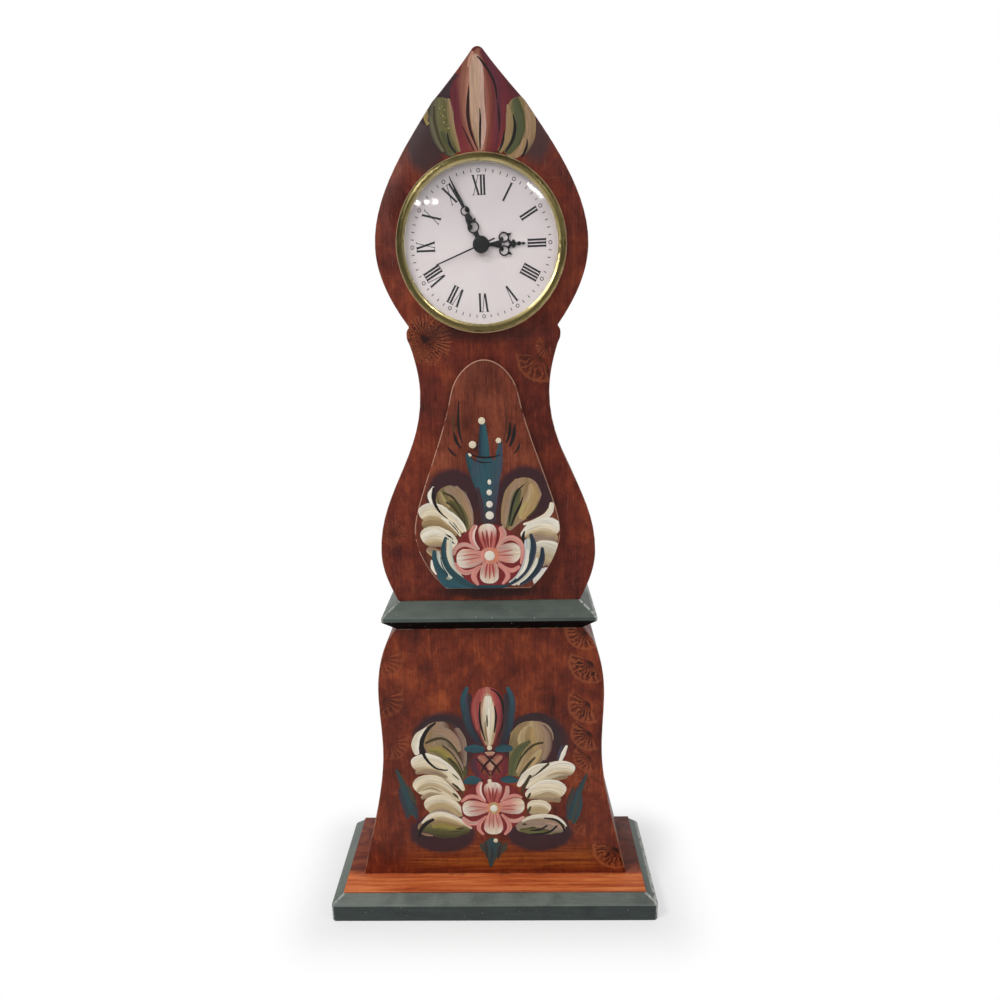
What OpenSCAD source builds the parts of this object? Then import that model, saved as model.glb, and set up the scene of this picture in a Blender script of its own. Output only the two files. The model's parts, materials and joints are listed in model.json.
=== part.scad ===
// Painted wooden shelf clock shaped like a small longcase clock, with a round clock insert.
// Millimetres. X is to the right, Y runs from the front to the back, Z is up.
// The origin is the middle of the base's underside.

/* [Base] */
// Width of the base board
base_w = 194; // [184:1:210]
// Depth of the base board
base_d = 72; // [70:1:84]
// Thickness of the base board
base_h = 15; // [13:0.5:20]
// Height of the upright edge of the base board
base_edge_h = 11; // [8:0.5:11.5]
// How far the sloping edge runs in on the front and both sides
base_edge_run = 6.5; // [4:0.5:9]
// Height of the small step between the sloping edge and the top
base_step = 1.2; // [0.6:0.1:1.4]
// Chamfer on the arris of the upright edge
base_chamfer = 0.8; // [0.4:0.1:1.2]
// Radius of the base board's upright front corners
base_corner_r = 2.5; // [1:0.5:4]

/* [Lower case] */
// Height of the ledge above the lower case's shoulders
lower_top_up = 42.4; // [38:0.2:47]
// Depth of the lower case
lower_d = 51.3; // [49:0.1:56]
// Width where the lower case stands on the base
lower_foot_w = 162; // [154:1:168]
// Width at the narrow part of the lower case
lower_waist_w = 129; // [124:0.5:132]
// Height of the narrow part above the base
lower_waist_up = 89; // [80:1:95]
// Width at the lower case's shoulders
shoulder_w = 130.6; // [130:0.2:138]
// Height of the shoulders' widest point above the narrow part
shoulder_up = 32; // [28:1:36]
// Width of the lower case under the ledge
lower_top_w = 104.8; // [98:0.2:110]

/* [Ledge] */
// Height of the ledge moulding
ledge_h = 15.3; // [13:0.1:20]
// Drop of the ledge's upper slope
ledge_slope_h = 6.7; // [5:0.1:8]
// Height of the ledge's upright edge
ledge_edge_h = 2.6; // [1.5:0.1:4]
// How far the ledge stands out past the belly on each side
ledge_out = 0.75; // [0.4:0.05:2]

/* [Upper case] */
// Depth of the upper case
upper_d = 47.7; // [46:0.1:50]
// Width where the upper case stands on the ledge
upper_foot_w = 102.1; // [98:0.1:108]
// Width of the belly
belly_w = 118.4; // [112:0.2:124]
// Height of the belly's widest point above the ledge
belly_up = 28.3; // [26:0.1:34]
// Width at the narrow waist
waist_w = 67.8; // [62:0.2:72]
// Height of the waist above the belly
waist_up = 87.8; // [79:0.1:97]
// Width at the notch between neck and head
notch_w = 76.2; // [72:0.2:82]
// Height of the notch above the waist
notch_up = 33.7; // [30:0.1:37]
// How far the round bead stands out below the notch
bead_out = 1.5; // [0.8:0.1:2.5]
// Height of that bead
bead_h = 9.2; // [8:0.1:10.2]
// Width of the head at its widest
head_w = 106.6; // [102:0.2:116]
// Width of the head at the soft break in its roof line
roof_w = 44.4; // [38:0.2:50]
// How far that break lies below the tip
roof_down = 23.3; // [20:0.1:27]
// Height of the tip above the dial's centre
tip_up = 88.45; // [80:0.05:97]
// Half width of the rounded tip
tip_w = 2.8; // [2:0.1:4]
// Height of the rounded tip
tip_h = 1.4; // [1:0.1:2]

/* [Boards] */
// Thickness of the front boards
front_t = 9; // [8:0.5:11]
// Sideways wall of the sawn side pieces
side_wall = 9; // [8:0.5:11]
// Thickness of the back boards
back_t = 6; // [5:0.5:8]
// Radius of the wood screws' shanks
screw_r = 1.2; // [1:0.1:1.4]
// Radius of the wood screws' heads
screw_head_r = 2.6; // [2:0.1:3]
// Length of the back boards' wood screws
back_screw_len = 18; // [14:1:22]
// Length of the base board's wood screws
base_screw_len = 30; // [24:1:34]
// How far the base board's screws stand in from the case's foot
base_screw_in = 7; // [6:0.1:7.8]
// Distance of the front pair from the case's front
base_screw_front = 16; // [14:0.5:18]
// Distance of the rear pair from the back
base_screw_back = 14; // [12:0.5:16]
// Distance of each back board's lowest screws from its foot
back_screw_low = 12; // [10:0.5:14]
// Distance of each back board's highest screws from its top
back_screw_high = 19; // [17:0.5:21]

/* [Waist panel] */
// Thickness of the raised panel on the waist
panel_t = 4; // [3:0.5:6]
// Gap between the top of the panel and the bezel
panel_gap = 13.05; // [11:0.05:16]
// Gap between the ledge and the foot of the panel
panel_up = 8.5; // [6:0.5:12]
// Width of the panel's flat foot
panel_foot_w = 46.6; // [40:0.2:52]
// Width of the panel at its widest
panel_w = 79.2; // [72:0.2:84]
// Height of that widest point above the panel's foot
panel_wide_up = 32.8; // [29:0.1:36]
// Height of the panel's round top
panel_arch_h = 17.5; // [16:0.1:19]
// Width of the panel where its round top starts
panel_neck_w = 35.2; // [32:0.2:40]

/* [Clock insert] */
// Height of the dial's centre above the notch
dial_up = 39.05; // [36:0.05:43]
// Outer diameter of the brass bezel
bezel_d = 85; // [82:0.5:88]
// Height of the bezel above the wooden face
bezel_h = 5.5; // [5:0.1:7]
// Width of the bezel's ring seen from the front
bezel_band = 4.5; // [4:0.1:5.5]
// Rise of the domed glass
glass_rise = 5.4; // [5.2:0.1:7]
// Thickness of the glass
glass_t = 1.2; // [1:0.1:1.6]
// Thickness of the dial
dial_t = 0.6; // [0.4:0.1:0.7]
// Diameter of the movement's round housing
can_d = 72.6; // [72:0.2:73.2]
// Depth of the housing behind the wooden face
can_depth = 22; // [21.5:0.5:24]
// Wall of the housing
can_wall = 1.2; // [1:0.1:1.6]
// Diameter of the hole in the front board
bore_d = 74.4; // [74.2:0.1:75.5]
// Gap between the rubber grip ring and that hole
grip_gap = 0.3; // [0.2:0.05:0.4]

/* [Hands] */
// Length of the minute hand
minute_len = 34.2; // [30:0.1:35]
// Length of the hour hand
hour_len = 22.3; // [19:0.1:25]
// Length of the second hand
second_len = 24.3; // [20:0.1:30]
// Length of the second hand's tail
second_tail = 7.3; // [5:0.1:9]
// Radius of the round cap on the second hand
cap_r = 4.1; // [3.5:0.1:5]
// Thickness of each hand
hand_t = 0.35; // [0.25:0.05:0.4]
// Clockwise angle of the minute hand from twelve
minute_angle = -25.3; // [-180:0.1:180]
// Clockwise angle of the hour hand from twelve
hour_angle = 88.9; // [0:0.1:360]
// Clockwise angle of the second hand from twelve
second_angle = 247.5; // [0:0.1:360]

/* [Gear train] */
// Distance from the centre to the third wheel's arbor
third_gap = 8.5; // [8.2:0.1:9.2]
// Distance from the centre to the intermediate wheel's arbor
inter_gap = 8.4; // [8.2:0.1:9]
// Distance from the intermediate wheel's arbor to the rotor
rotor_gap = 7; // [6.8:0.1:7.6]
// Distance from the centre to the motion wheel, and on to the setting arbor
motion_gap = 7.2; // [7:0.1:7.6]
// Thickness of the toothed wheels
wheel_t = 0.6; // [0.5:0.05:0.7]
// Radius of the thin arbors
arbor_r = 0.35; // [0.3:0.01:0.4]
// Running clearance of arbors and tubes
run_gap = 0.05; // [0.03:0.01:0.08]

/* [Battery] */
// Diameter of the battery
cell_d = 12; // [11.5:0.1:12.2]
// Length of the battery
cell_len = 30.2; // [29:0.1:30.6]
// How far the battery's axis lies below the dial's centre
cell_down = 22; // [21.8:0.1:22.4]

/* [Hidden] */
$fn = 64;

// Depth planes, from the back edge of the base forwards
back_y = base_d / 2;
lower_y = back_y - lower_d;
upper_y = back_y - upper_d;

// Heights, each one standing on the one before
lower_waist_z = base_h + lower_waist_up;
shoulder_z = lower_waist_z + shoulder_up;
lower_top_z = shoulder_z + lower_top_up;
ledge_z = lower_top_z + ledge_h;
belly_z = ledge_z + belly_up;
waist_z = belly_z + waist_up;
notch_z = waist_z + notch_up;
dial_z = notch_z + dial_up;
clock_h = dial_z + tip_up;

// Steps in each curved stretch of an outline
curve_steps = 14;

// A curved stretch from a to d. It leaves and arrives along handles, given as shares of its run and rise
function curve(a, leave, arrive, d) =
    let (run = d - a, b = a + [leave[0] * run[0], leave[1] * run[1]])
    let (c = d - [arrive[0] * run[0], arrive[1] * run[1]])
    [
        for (i = [1:curve_steps])
            let (t = i / curve_steps, s = 1 - t)
                s * s * s * a + 3 * s * s * t * b + 3 * s * t * t * c + t * t * t * d
    ];
function mirrored(half) = [for (i = [len(half) - 1:-1:0]) [-half[i][0], half[i][1]]];
function both(half) = concat(half, mirrored(half));
function by_height(half) = [for (p = half) [p[1], p[0]]];

// Right half of the lower case's outline, from the foot up
lower_foot = [lower_foot_w / 2, base_h];
lower_waist = [lower_waist_w / 2, lower_waist_z];
shoulder = [shoulder_w / 2, shoulder_z];
lower_top = [lower_top_w / 2, lower_top_z];
lower_half = concat(
    [lower_foot],
    curve(lower_foot, [0.521, 0.416], [0, 0.281], lower_waist),
    curve(lower_waist, [0, 0.375], [0, 0.375], shoulder),
    curve(shoulder, [0, 0.495], [0.512, 0.116], lower_top)
);

// Right half of the upper case's outline, from the foot up to the tip
upper_foot = [upper_foot_w / 2, ledge_z];
belly = [belly_w / 2, belly_z];
waist = [waist_w / 2, waist_z];
notch = [notch_w / 2, notch_z];
bead_foot = notch - [0, bead_h];
bead_mid = [notch[0] + bead_out, notch[1] - 0.42 * bead_h];
head = [head_w / 2, dial_z];
roof = [roof_w / 2, clock_h - roof_down];
tip_side = [tip_w, clock_h - tip_h];
tip = [0, clock_h];
upper_half = concat(
    [upper_foot],
    curve(upper_foot, [0.564, 0.339], [0, 0.353], belly),
    curve(belly, [0, 0.386], [0, 0.386], waist),
    curve(waist, [0, 0.367], [0.571, 0.327], bead_foot),
    curve(bead_foot, [0.5, 0.4], [0, 0.55], bead_mid),
    curve(bead_mid, [0, 0.5], [0.9, 0.5], notch),
    curve(notch, [0.559, 0.307], [0, 0.359], head),
    curve(head, [0, 0.384], [0.354, 0.238], roof),
    curve(roof, [0.186, 0.155], [0.191, 0.228], tip_side),
    curve(tip_side, [0.286, 0.714], [0.357, 0], tip)
);

// Right half of the waist panel's outline, from its foot up
panel_z = ledge_z + panel_up;
panel_top = [0, dial_z - bezel_d / 2 - panel_gap];
panel_foot = [panel_foot_w / 2, panel_z];
panel_wide = [panel_w / 2, panel_z + panel_wide_up];
panel_neck = [panel_neck_w / 2, panel_top[1] - panel_arch_h];
panel_half = concat(
    [panel_foot],
    curve(panel_foot, [0.442, 0.192], [0, 0.396], panel_wide),
    curve(panel_wide, [0, 0.201], [0.25, 0.362], panel_neck),
    curve(panel_neck, [0.08, 0.457], [0.483, 0], panel_top)
);

// Inner faces of the hollow cases
function sawn(half) = [for (p = half) if (p[0] > side_wall) [p[0] - side_wall, p[1]]];

// Wood screws: their places and the bores that take them
screw_gap = 0.05;
screw_edge = side_wall / 2;
base_screw_y = [back_y - base_screw_back, lower_y + base_screw_front];
base_screw_x = lower_foot_w / 2 - base_screw_in;
lower_screw_low = base_h + base_screw_len + 2;
tip_screw_down = 2 * back_screw_high + 6;
screw_head_h = 2;
screw_sink = 0.4;
screw_lead = screw_sink + 1;

// Depths in front of the wooden face, which is nought; behind it they are negative
bezel_r = bezel_d / 2;
sight_r = bezel_r - bezel_band;
flange_t = 0.6;
plate_t = 0.6;
flange_r = bezel_r - 1.3;
dial_back = flange_t + plate_t;
dial_front = dial_back + dial_t;
glass_seat = bezel_h - 2.3;
glass_front = glass_seat + glass_t;
glass_r = sight_r + 1;
dome_r = (sight_r * sight_r + glass_rise * glass_rise) / (2 * glass_rise);
dome_mid = glass_front + glass_rise - dome_r;
can_r = can_d / 2;
can_in_r = can_r - can_wall;
can_back = -can_depth;
grip_r = bore_d / 2 - grip_gap;
grip_front = -1.5;
grip_len = 6;
grip_ribs = 3;

// Layers of the movement
plate_back = -0.6;
plate_disc_r = 24;
rear_plate_front = -10.75;
rear_plate_t = 1.4;
rear_plate_r = 31;
pivot_deep = 0.75;
hour_layer = -1.5;
motion_layer = -2.5;
centre_layer = -3.8;
third_layer = -5.2;
second_layer = -6.6;
inter_layer = -8;
pinion_extra = 0.1;
stator_t = 0.7;
stator_layer = rear_plate_front;
magnet_r = 3;
magnet_t = 1.2;
magnet_gap = 0.3;
magnet_sink = (magnet_t - stator_t) / 2;
window_gap = 0.4;

// Tubes on the centre line, from the inside out
centre_tube_in = arbor_r + run_gap;
centre_tube_r = centre_tube_in + 0.3;
cannon_in = centre_tube_r + run_gap;
cannon_r = cannon_in + 0.45;
hour_tube_in = cannon_r + run_gap;
hour_tube_r = hour_tube_in + 0.5;
bush_in = hour_tube_r + run_gap;
bush_r = bush_in + 0.9;

// Depths of the hands
hour_front = dial_front + 0.45 + hand_t;
minute_front = hour_front + 0.45 + hand_t;
second_front = minute_front + 0.4 + hand_t * 0.6;
cap_front = second_front + 0.5;

// Arbors seen from the front
third_dir = 180;
inter_dir = 50;
rotor_dir = 20;
motion_dir = 120;
setting_dir = 90;
function polar(r, a) = [r * cos(a), r * sin(a)];
third_at = polar(third_gap, third_dir);
inter_at = polar(inter_gap, inter_dir);
rotor_at = inter_at + polar(rotor_gap, rotor_dir);
motion_at = polar(motion_gap, motion_dir);
setting_at = motion_at + polar(motion_gap, setting_dir);
setting_r = 0.6;
knob_r = 4.5;
knob_t = 2.5;
knob_gap = 0.4;

// Teeth of the wheels and pinions
rotor_teeth = 8;
inter_teeth = 48;
inter_pinion_teeth = 10;
second_teeth = 50;
second_pinion_teeth = 8;
third_teeth = 60;
third_pinion_teeth = 8;
centre_teeth = 64;
cannon_teeth = 12;
motion_teeth = 36;
motion_pinion_teeth = 10;
hour_teeth = 40;
function gear_module(gap, n1, n2) = 2 * gap / (n1 + n2);
rotor_m = gear_module(rotor_gap, rotor_teeth, inter_teeth);
inter_m = gear_module(inter_gap, inter_pinion_teeth, second_teeth);
third_m = gear_module(third_gap, second_pinion_teeth, third_teeth);
centre_m = gear_module(third_gap, third_pinion_teeth, centre_teeth);
motion_m = gear_module(motion_gap, cannon_teeth, motion_teeth);
hour_m = gear_module(motion_gap, motion_pinion_teeth, hour_teeth);

// Battery bay
cell_r = cell_d / 2;
cell_gap = 0.4;
contact_t = 0.4;
contact_room = 1.6;
bay_x = cell_len / 2 + contact_room;
bay_z = cell_r + cell_gap;
bay_wall = 1;
cell_depth = can_back + 0.75 + cell_r;
bay_floor = cell_depth + cell_r + cell_gap;
pillar_r = 2;
pillar_places = [[-20, -11], [-17, 19], [11, 25.5], [27, -10]];

// Coil and stator
core_x = [20.5, 23.5];
core_z = [-7, 12];
core_mid = (core_x[0] + core_x[1]) / 2;
coil_r = 4;
bobbin_flange_t = 0.8;
bobbin_r = 4.6;
bobbin_wall = 0.5;
core_gap = 0.1;
coil_depth = stator_layer + stator_t / 2;

// Colours
wood = "#7a2f22";
sage = "#5f6a5e";
brass = "#b08d3c";
steel = "#b8bcc2";
plastic = "#26262a";
gear_brass = "#c9a441";

// A solid extruded towards the front from depth y
module facing(y) {
    translate([0, y, 0]) rotate([90, 0, 0]) children();
}

// The insert's own frame: x right, y up, z out of the dial, origin on the wooden face
module insert_frame() {
    translate([0, upper_y, dial_z]) rotate([90, 0, 0]) children();
}

// A board with a given outline between two depths
module board(points, y_front, y_back) {
    facing(y_back) linear_extrude(y_back - y_front) polygon(points);
}

module side_pair(half, y_front) {
    difference() {
        board(both(half), y_front, back_y - back_t);
        translate([0, 1, 0]) board(both(sawn(half)), y_front - 2, back_y - back_t + 1);
    }
}

// Keeps one side of a piece that was made in pairs
module one_side(side) {
    intersection() {
        children();
        translate([side > 0 ? 0 : -base_w, -base_d, 0]) cube([base_w, 2 * base_d, 2 * clock_h]);
    }
}

// Pairs of screws, evenly spread between two heights, in the middle of the side pieces' walls
function back_screw_places(half, low, high, pairs) = [
    for (i = [0:pairs - 1])
        for (side = [-1, 1])
            let (z = low + i * (high - low) / (pairs - 1))
                [side * (lookup(z, by_height(half)) - screw_edge), z]
];
lower_screws = back_screw_places(lower_half, lower_screw_low, lower_top_z - back_screw_high, 3);
upper_screws = back_screw_places(upper_half, ledge_z + back_screw_low, clock_h - tip_screw_down, 5);

// A countersunk wood screw along the local Z axis, its head at nought. A bore is larger by grow,
// and runs on past the head by lead
module wood_screw(len, grow, lead) {
    head_r = screw_head_r + grow;
    shank_r = screw_r + grow;
    rotate_extrude() polygon(concat(
        [[0, len + grow], [0, -lead], [head_r, -lead]],
        lead > 0 ? [[head_r, 0]] : [],
        [[shank_r, screw_head_h], [shank_r, len + grow]]
    ));
}

module back_screw_set(places, grow, lead) {
    for (p = places)
        translate([p[0], back_y - screw_sink, p[1]]) rotate([90, 0, 0]) wood_screw(back_screw_len, grow, lead);
}

module base_screw_set(grow, lead) {
    for (side = [-1, 1])
        for (y = base_screw_y)
            translate([side * base_screw_x, y, screw_sink]) wood_screw(base_screw_len, grow, lead);
}

// Base board: sloping moulded edge on the front and both sides
module base() {
    slope_z = base_h - base_step;
    edge = [
        [-1, -1], [-1, base_edge_h - base_chamfer], [0, base_edge_h - base_chamfer],
        [base_chamfer, base_edge_h], [base_edge_run, slope_z], [base_edge_run, base_h + 1]
    ];
    left = [for (p = edge) [p[0] - base_w / 2, p[1]]];
    front = [for (p = edge) [p[0] - base_d / 2, p[1]]];
    color(sage) difference() {
        intersection() {
            linear_extrude(base_h) rounded_front();
            facing(back_y + 1) linear_extrude(base_d + 2) polygon(both(left));
            translate([-base_w, 0, 0]) rotate([90, 0, 90]) linear_extrude(2 * base_w)
                polygon(concat(front, [[back_y + 1, base_h + 1], [back_y + 1, -1]]));
        }
        base_screw_set(screw_gap, screw_lead);
    }
}

// Plan of the base board with its two front corners rounded
module rounded_front() {
    r = base_corner_r;
    translate([-base_w / 2, r - base_d / 2]) square([base_w, base_d - r]);
    translate([r - base_w / 2, -base_d / 2]) square([base_w - 2 * r, base_d]);
    for (side = [-1, 1])
        translate([side * (base_w / 2 - r), r - base_d / 2]) circle(r);
}

module lower_front() {
    color(wood) board(both(lower_half), lower_y, lower_y + front_t);
}

module lower_side(side) {
    color(wood) difference() {
        one_side(side) side_pair(lower_half, lower_y + front_t);
        base_screw_set(screw_gap, screw_lead);
        back_screw_set(lower_screws, screw_gap, screw_lead);
    }
}

module lower_back() {
    color(wood) difference() {
        board(both(lower_half), back_y - back_t, back_y);
        back_screw_set(lower_screws, screw_gap, screw_lead);
    }
}

// Ledge moulding between the two cases, mitred at its front corners
module ledge() {
    edge_z = ledge_z - ledge_slope_h;
    under_z = edge_z - ledge_edge_h;
    top_x = upper_foot_w / 2;
    out_x = belly_w / 2 + ledge_out;
    low_x = lower_top_w / 2;
    out_y = upper_y - (out_x - top_x);
    half = [[low_x, lower_top_z], [out_x, under_z], [out_x, edge_z], [top_x, ledge_z]];
    side = [
        [back_y + 1, lower_top_z - 1], [lower_y, lower_top_z - 1], [lower_y, lower_top_z], [out_y, under_z],
        [out_y, edge_z], [upper_y, ledge_z], [upper_y, ledge_z + 1], [back_y + 1, ledge_z + 1]
    ];
    color(sage) intersection() {
        facing(back_y) linear_extrude(2 * base_d) polygon(both(half));
        translate([-base_w, 0, 0]) rotate([90, 0, 90]) linear_extrude(2 * base_w) polygon(side);
    }
}

module upper_front() {
    color(wood) difference() {
        board(both(upper_half), upper_y, upper_y + front_t);
        insert_frame() translate([0, 0, -front_t - 1]) cylinder(d = bore_d, h = front_t + 2);
    }
}

module upper_side(side) {
    color(wood) difference() {
        one_side(side) side_pair(upper_half, upper_y + front_t);
        back_screw_set(upper_screws, screw_gap, screw_lead);
    }
}

module upper_back() {
    color(wood) difference() {
        board(both(upper_half), back_y - back_t, back_y);
        back_screw_set(upper_screws, screw_gap, screw_lead);
    }
}

module waist_panel() {
    color(wood) board(both(panel_half), upper_y - panel_t, upper_y);
}

module base_screws() {
    color(steel) base_screw_set(0, 0);
}

module lower_back_screws() {
    color(steel) back_screw_set(lower_screws, 0, 0);
}

module upper_back_screws() {
    color(steel) back_screw_set(upper_screws, 0, 0);
}

// Brass bezel: a rounded outer shoulder, a crest and a lip over the glass
module bezel() {
    crest_r = sight_r + 1.5;
    crest_run = bezel_r - crest_r;
    shoulder_h = 1.4;
    rise = bezel_h - shoulder_h;
    outer = [for (a = [0:9:90]) [crest_r + crest_run * cos(a), shoulder_h + rise * sin(a)]];
    inner = [
        [sight_r + 0.5, bezel_h - 0.25], [sight_r, bezel_h - 0.8], [sight_r, glass_front],
        [glass_r, glass_front], [glass_r, dial_back], [flange_r, dial_back], [flange_r, 0]
    ];
    color(brass) insert_frame() rotate_extrude($fn = 128) polygon(concat([[bezel_r, 0]], outer, inner));
}

// Domed glass with a flat rim under the bezel's lip
module lens() {
    color("#dfe9ee", 0.35) insert_frame() {
        difference() {
            intersection() {
                translate([0, 0, dome_mid]) sphere(r = dome_r, $fn = 128);
                translate([0, 0, glass_seat]) cylinder(r = sight_r, h = glass_rise + glass_t + 1, $fn = 128);
            }
            translate([0, 0, dome_mid]) sphere(r = dome_r - glass_t, $fn = 128);
        }
        translate([0, 0, glass_seat]) difference() {
            cylinder(r = glass_r, h = glass_t, $fn = 128);
            translate([0, 0, -1]) cylinder(r = sight_r - 0.4, h = glass_t + 2, $fn = 128);
        }
    }
}

module lens_spacer() {
    color("#e8e6e0") insert_frame() translate([0, 0, dial_front]) difference() {
        cylinder(r = glass_r, h = glass_seat - dial_front, $fn = 128);
        translate([0, 0, -1]) cylinder(r = sight_r - 0.2, h = bezel_h, $fn = 128);
    }
}

module dial() {
    color("#e6e2e6") insert_frame() translate([0, 0, dial_back]) difference() {
        cylinder(r = glass_r, h = dial_t, $fn = 128);
        translate([0, 0, -1]) cylinder(r = bush_r + 0.1, h = dial_t + 2);
    }
}

// Round housing with a flange behind the bezel and an open battery bay in its back
module can() {
    color(plastic) insert_frame() difference() {
        union() {
            difference() {
                translate([0, 0, can_back]) cylinder(r = can_r, h = can_depth, $fn = 128);
                translate([0, 0, can_back + can_wall]) cylinder(r = can_in_r, h = can_depth, $fn = 128);
            }
            difference() {
                cylinder(r = flange_r, h = flange_t, $fn = 128);
                translate([0, 0, -1]) cylinder(r = can_in_r, h = flange_t + 2, $fn = 128);
            }
            bay_box(bay_wall, can_back, bay_floor + bay_wall);
        }
        bay_box(0, can_back - 1, bay_floor);
        bores([setting_at], can_back - 1, can_back + can_wall + 1, setting_r + run_gap);
    }
}

module bay_box(grow, from, to) {
    translate([-bay_x - grow, -cell_down - bay_z - grow, from])
        cube([2 * (bay_x + grow), 2 * (bay_z + grow), to - from]);
}

// Rubber ring with ribs that holds the housing in the wood
module grip_ring() {
    rib = grip_len / (2 * grip_ribs - 1);
    color("#3a3a3a") insert_frame() difference() {
        union() {
            translate([0, 0, grip_front - grip_len])
                cylinder(r = (can_r + grip_r) / 2, h = grip_len, $fn = 128);
            for (i = [0:grip_ribs - 1])
                translate([0, 0, grip_front - (2 * i + 1) * rib]) cylinder(r = grip_r, h = rib, $fn = 128);
        }
        translate([0, 0, grip_front - grip_len - 1]) cylinder(r = can_r, h = grip_len + 2, $fn = 128);
    }
}

// A plain disc or ring at a depth, extruded towards the front
module ring(at, from, to, r, hole) {
    translate([at[0], at[1], from]) difference() {
        cylinder(r = r, h = to - from);
        if (hole > 0) translate([0, 0, -1]) cylinder(r = hole, h = to - from + 2);
    }
}

module bores(places, from, to, r) {
    for (p = places)
        translate([p[0], p[1], from]) cylinder(r = r, h = to - from);
}

arbor_places = [third_at, inter_at, rotor_at];

// Plate behind the dial: bearings in front, four pillars and the motion wheel's stud
module front_plate() {
    color(plastic) insert_frame() difference() {
        union() {
            translate([0, 0, flange_t]) cylinder(r = flange_r, h = plate_t, $fn = 128);
            translate([0, 0, plate_back]) cylinder(r = plate_disc_r, h = flange_t - plate_back);
            for (p = pillar_places)
                ring(p, rear_plate_front, flange_t, pillar_r, 0);
            ring(motion_at, motion_layer - 0.5, flange_t, arbor_r, 0);
        }
        translate([0, 0, plate_back - 1]) cylinder(r = bush_r, h = 4);
        bores(arbor_places, plate_back - 1, plate_back + pivot_deep + 0.1, arbor_r + run_gap);
        bores([setting_at], plate_back - 1, plate_back + pivot_deep + 0.1, setting_r + run_gap);
    }
}

// Plate behind the wheels, cut off above the battery bay, with a window for the coil
module rear_plate() {
    plate_low = bay_wall + bay_z - cell_down + 0.3;
    rear = rear_plate_front - rear_plate_t;
    front = rear_plate_front + 1;
    window_x = core_mid - bobbin_r - window_gap;
    window_z = core_z[0] - window_gap;
    color(plastic) insert_frame() difference() {
        translate([0, 0, rear]) intersection() {
            cylinder(r = rear_plate_r, h = rear_plate_t, $fn = 96);
            translate([-can_r, plate_low, -1]) cube([can_d, can_d, rear_plate_t + 2]);
        }
        bores(concat(arbor_places, [[0, 0]]), rear_plate_front - pivot_deep - 0.1, front, arbor_r + run_gap);
        bores([rotor_at], rear_plate_front - magnet_sink - 0.15, front, magnet_r + magnet_gap);
        bores([setting_at], rear - 1, front, setting_r + run_gap);
        translate([window_x, window_z, rear - 1])
            cube([2 * (bobbin_r + window_gap), core_z[1] - core_z[0] + 2 * window_gap, rear_plate_t + 2]);
    }
}

module centre_bush() {
    color(brass) insert_frame() ring([0, 0], plate_back, dial_front, bush_r, bush_in);
}

// Bobbin: two flanges and a square sleeve round the stator's core
module bobbin() {
    half_x = (core_x[1] - core_x[0]) / 2 + core_gap;
    half_y = stator_t / 2 + core_gap;
    len = core_z[1] - core_z[0] - 2 * core_gap;
    color("#d8d2c4") insert_frame()
        translate([core_mid, core_z[0] + core_gap, coil_depth]) rotate([-90, 0, 0]) difference() {
            union() {
                cylinder(r = half_x + bobbin_wall, h = len);
                cylinder(r = bobbin_r, h = bobbin_flange_t);
                translate([0, 0, len - bobbin_flange_t]) cylinder(r = bobbin_r, h = bobbin_flange_t);
            }
            translate([-half_x, -half_y, -1]) cube([2 * half_x, 2 * half_y, len + 2]);
        }
}

module coil() {
    sleeve_r = (core_x[1] - core_x[0]) / 2 + core_gap + bobbin_wall;
    from = core_z[0] + core_gap + bobbin_flange_t;
    to = core_z[1] - core_gap - bobbin_flange_t;
    color("#a3542a") insert_frame()
        translate([core_mid, from, coil_depth]) rotate([-90, 0, 0]) difference() {
            cylinder(r = coil_r, h = to - from);
            translate([0, 0, -1]) cylinder(r = sleeve_r, h = to - from + 2);
        }
}

// Stator: one flat lamination round the rotor with its core through the bobbin
module stator() {
    arm = 3.4;
    tall = core_z[1] - core_z[0];
    pole_x = [rotor_at[0] - magnet_r - 1.5, rotor_at[0] + magnet_r + 1.5];
    color(steel) insert_frame() translate([0, 0, stator_layer]) linear_extrude(stator_t) difference() {
        translate([pole_x[0], core_z[0] - arm]) square([core_x[1] - pole_x[0], tall + 2 * arm]);
        translate([pole_x[1], core_z[0]]) square([core_x[0] - pole_x[1], tall]);
        translate(rotor_at) circle(magnet_r + magnet_gap);
    }
}

board_front = rear_plate_front - rear_plate_t;
module circuit_board() {
    color("#2f6b3c") insert_frame() translate([-22, -8, board_front - 1]) difference() {
        cube([15, 22, 1]);
        for (y = [2, 20])
            translate([2, y, -1]) cylinder(r = 0.8, h = 3);
    }
}

module quartz() {
    color(steel) insert_frame()
        translate([-15, 2, board_front - 2]) rotate([-90, 0, 0]) cylinder(r = 1, h = 6);
}

// Spring contacts at the two ends of the battery
module contact(side) {
    inner = cell_len / 2 + 0.1;
    color(steel) insert_frame() {
        translate([side > 0 ? bay_x - contact_t : -bay_x, -cell_down - 3, bay_floor - 9])
            cube([contact_t, 6, 9]);
        translate([side > 0 ? inner : -bay_x + contact_t, -cell_down - 1.5, cell_depth - 1.5])
            cube([bay_x - contact_t - inner, 3, 3]);
    }
}

module battery() {
    nub = 0.8;
    color("#b9b4a6") insert_frame() translate([0, -cell_down, cell_depth]) rotate([0, 90, 0]) {
        translate([0, 0, -cell_len / 2]) cylinder(r = cell_r, h = cell_len - nub);
        translate([0, 0, cell_len / 2 - nub]) cylinder(r = 2, h = nub);
    }
}

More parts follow.
